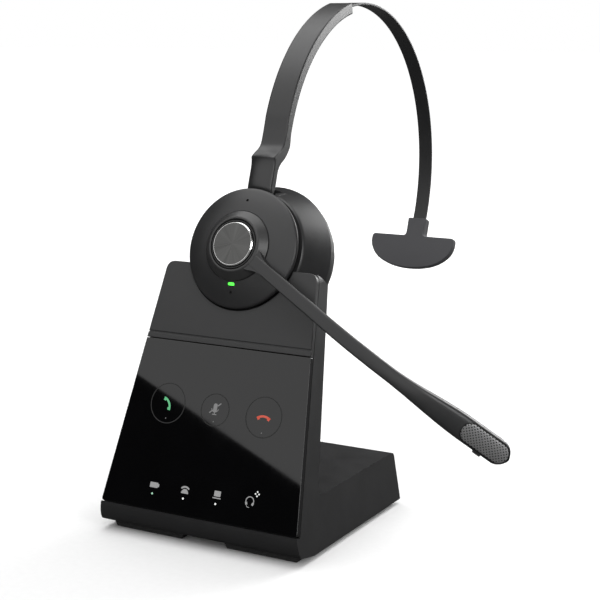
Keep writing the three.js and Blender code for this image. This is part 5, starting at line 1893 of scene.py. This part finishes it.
# ---------------------------------------------------------------------------- studio
@dataclass
class Studio:
    """A pale seamless floor, soft lights and the camera.

    Args:
        eye: the camera's place over the desk.
        aim: the way that it looks.
        lens: focal length.
        far_glow: how much the far floor is lifted to the even white behind the object.
        glow_from, glow_to: distances in metres over which that starts.
    """

    eye: Corner = (320.94, -481.97, 219.94)
    aim: Corner = (-0.47925, 0.85709, -0.18900)
    lens: float = 84.83
    far_glow: float = 0.76
    glow_from: float = 0.22
    glow_to: float = 1.3

    def camera(self) -> None:
        """Places the camera."""
        data = bpy.data.cameras.new("camera")
        data.lens, data.sensor_width = self.lens, 36.0
        data.clip_start, data.clip_end = 0.01, 100.0
        item = bpy.data.objects.new("camera", data)
        item.location = DESK.at(*self.eye)
        item.rotation_euler = Vector(self.aim).to_track_quat("-Z", "Y").to_euler()
        bpy.context.scene.collection.objects.link(item)
        bpy.context.scene.camera = item
        bpy.context.scene.view_settings.view_transform = "Standard"

    def floor(self) -> None:
        """A large pale floor."""
        form = Form().skin(2, 2, lambda u, v: Vector(((u - 0.5) * 24000, (v - 0.5) * 24000, -0.2)),
                           closed=False)
        item = bpy.data.objects.new("floor", form.through(DESK.matrix()).mesh("floor"))
        bpy.context.scene.collection.objects.link(item)
        nodes = Nodes("floor")
        speck = nodes.noise(nodes.place(), 3.0)
        pale = nodes.blend(speck, (0.72, 0.72, 0.72), (0.735, 0.735, 0.735))
        path = nodes.add("ShaderNodeLightPath")
        tint = nodes.add("ShaderNodeMix", data_type="RGBA")
        nodes.link(path.outputs["Is Camera Ray"], tint.inputs["Factor"])
        nodes.link(pale, tint.inputs["B"])
        tint.inputs["A"].default_value = (0.10, 0.10, 0.10, 1)
        nodes.link(tint.outputs["Result"], nodes.shader.inputs["Base Color"])
        away = nodes.add("ShaderNodeVectorMath", operation="LENGTH")
        nodes.link(nodes.place(), away.inputs[0])
        glow = nodes.spread(away.outputs["Value"], 0.0, self.far_glow, self.glow_from,
                            self.glow_to)
        nodes.link(nodes.maths("MULTIPLY", glow, path.outputs["Is Camera Ray"]),
                   nodes.shader.inputs["Emission Strength"])
        nodes.value(Roughness=0.9, Specular_IOR_Level=0.0, Emission_Color=(1, 1, 1, 1))
        item.data.materials.append(nodes.material)

    def sky(self) -> None:
        """Even white all round, darker where it is seen in gloss."""
        world = bpy.data.worlds.new("sky")
        world.use_nodes = True
        bpy.context.scene.world = world
        tree = world.node_tree
        back = tree.nodes["Background"]
        path = tree.nodes.new("ShaderNodeLightPath")
        tint, dim = (tree.nodes.new("ShaderNodeMix") for _ in range(2))
        tint.data_type = dim.data_type = "RGBA"
        tree.links.new(path.outputs["Is Camera Ray"], tint.inputs["Factor"])
        tree.links.new(path.outputs["Is Glossy Ray"], dim.inputs["Factor"])
        dim.inputs["A"].default_value = (0.42, 0.42, 0.42, 1)
        dim.inputs["B"].default_value = (0.02, 0.02, 0.0205, 1)
        tree.links.new(dim.outputs["Result"], tint.inputs["A"])
        tint.inputs["B"].default_value = (1.0, 1.0, 1.0, 1)
        tree.links.new(tint.outputs["Result"], back.inputs["Color"])
        back.inputs["Strength"].default_value = 1.0

    @staticmethod
    def lamp(name: str, at: Corner, target: Corner, size: Point, power: float) -> None:
        """Adds a soft box.

        Args:
            name: its name.
            at: its place over the desk, in millimetres.
            target: where it points.
            size: its width and height, in millimetres.
            power: its power, in watts.
        """
        data = bpy.data.lights.new(name, "AREA")
        data.shape, data.size, data.size_y = "RECTANGLE", size[0] * MM, size[1] * MM
        data.energy = power
        item = bpy.data.objects.new(name, data)
        item.visible_camera = False
        item.location = DESK.at(*at)
        way = Vector(target) - Vector(at)
        item.rotation_euler = way.to_track_quat("-Z", "Y").to_euler()
        bpy.context.scene.collection.objects.link(item)

    def card(self) -> None:
        """A large pale card whose edge is mirrored across the touch sheet."""
        eye = DESK.at(*self.eye)
        distance = 0.7

        def mirrored(x: float, t: float) -> Vector:
            """Where the sheet's mirror shows from the camera, at the card."""
            spot = PANEL.at(x, t, 0)
            way = (spot - eye).normalized()
            return spot + (way - 2 * way.dot(PANEL.out) * PANEL.out) * distance

        low, high = mirrored(-43.5, 57.6), mirrored(46.2, 21.9)
        edge = (high - low).normalized()
        inward = mirrored(46.2, 90.0) - high
        inward = (inward - inward.dot(edge) * edge).normalized()
        form = Form()
        bmesh.ops.create_grid(form.bm, x_segments=1, y_segments=1, size=0.5)
        for vert in form.bm.verts:
            vert.co = low - edge * 0.5 + edge * (vert.co.x + 0.5) * 1.5 + inward * (
                vert.co.y + 0.5) * 1.1
        item = bpy.data.objects.new("mirror_card", form.mesh("mirror_card"))
        bpy.context.scene.collection.objects.link(item)
        nodes = Nodes("mirror_card")
        nodes.value(Base_Color=(0, 0, 0, 1), Emission_Color=(1, 1, 1, 1), Emission_Strength=1.3,
                    Specular_IOR_Level=0.0)
        item.data.materials.append(nodes.material)
        item.visible_camera = False

    def build(self) -> None:
        """Builds the studio."""
        self.camera()
        self.floor()
        self.sky()
        self.card()
        self.lamp("overhead", (-250, 150, 1150), (-250, 150, 0), (1300, 1400), 15.0)
        self.lamp("right_side", (900, -330, 420), (0, 40, 140), (420, 400), 3.6)
        self.lamp("right_front", (420, -960, 150), (0, 20, 120), (560, 480), 3.2)
        self.lamp("rear_right", (300, 930, 430), (0, 40, 100), (560, 520), 8.0)


def main() -> None:
    """Builds every sub-assembly."""
    logging.basicConfig(level=logging.INFO, format="%(message)s")
    ChargingBase().build()
    Earcup().build()
    Boom().build()
    Headband().build()
    HeadPad().build()
    Studio().build()


if __name__ == "__main__":
    main()
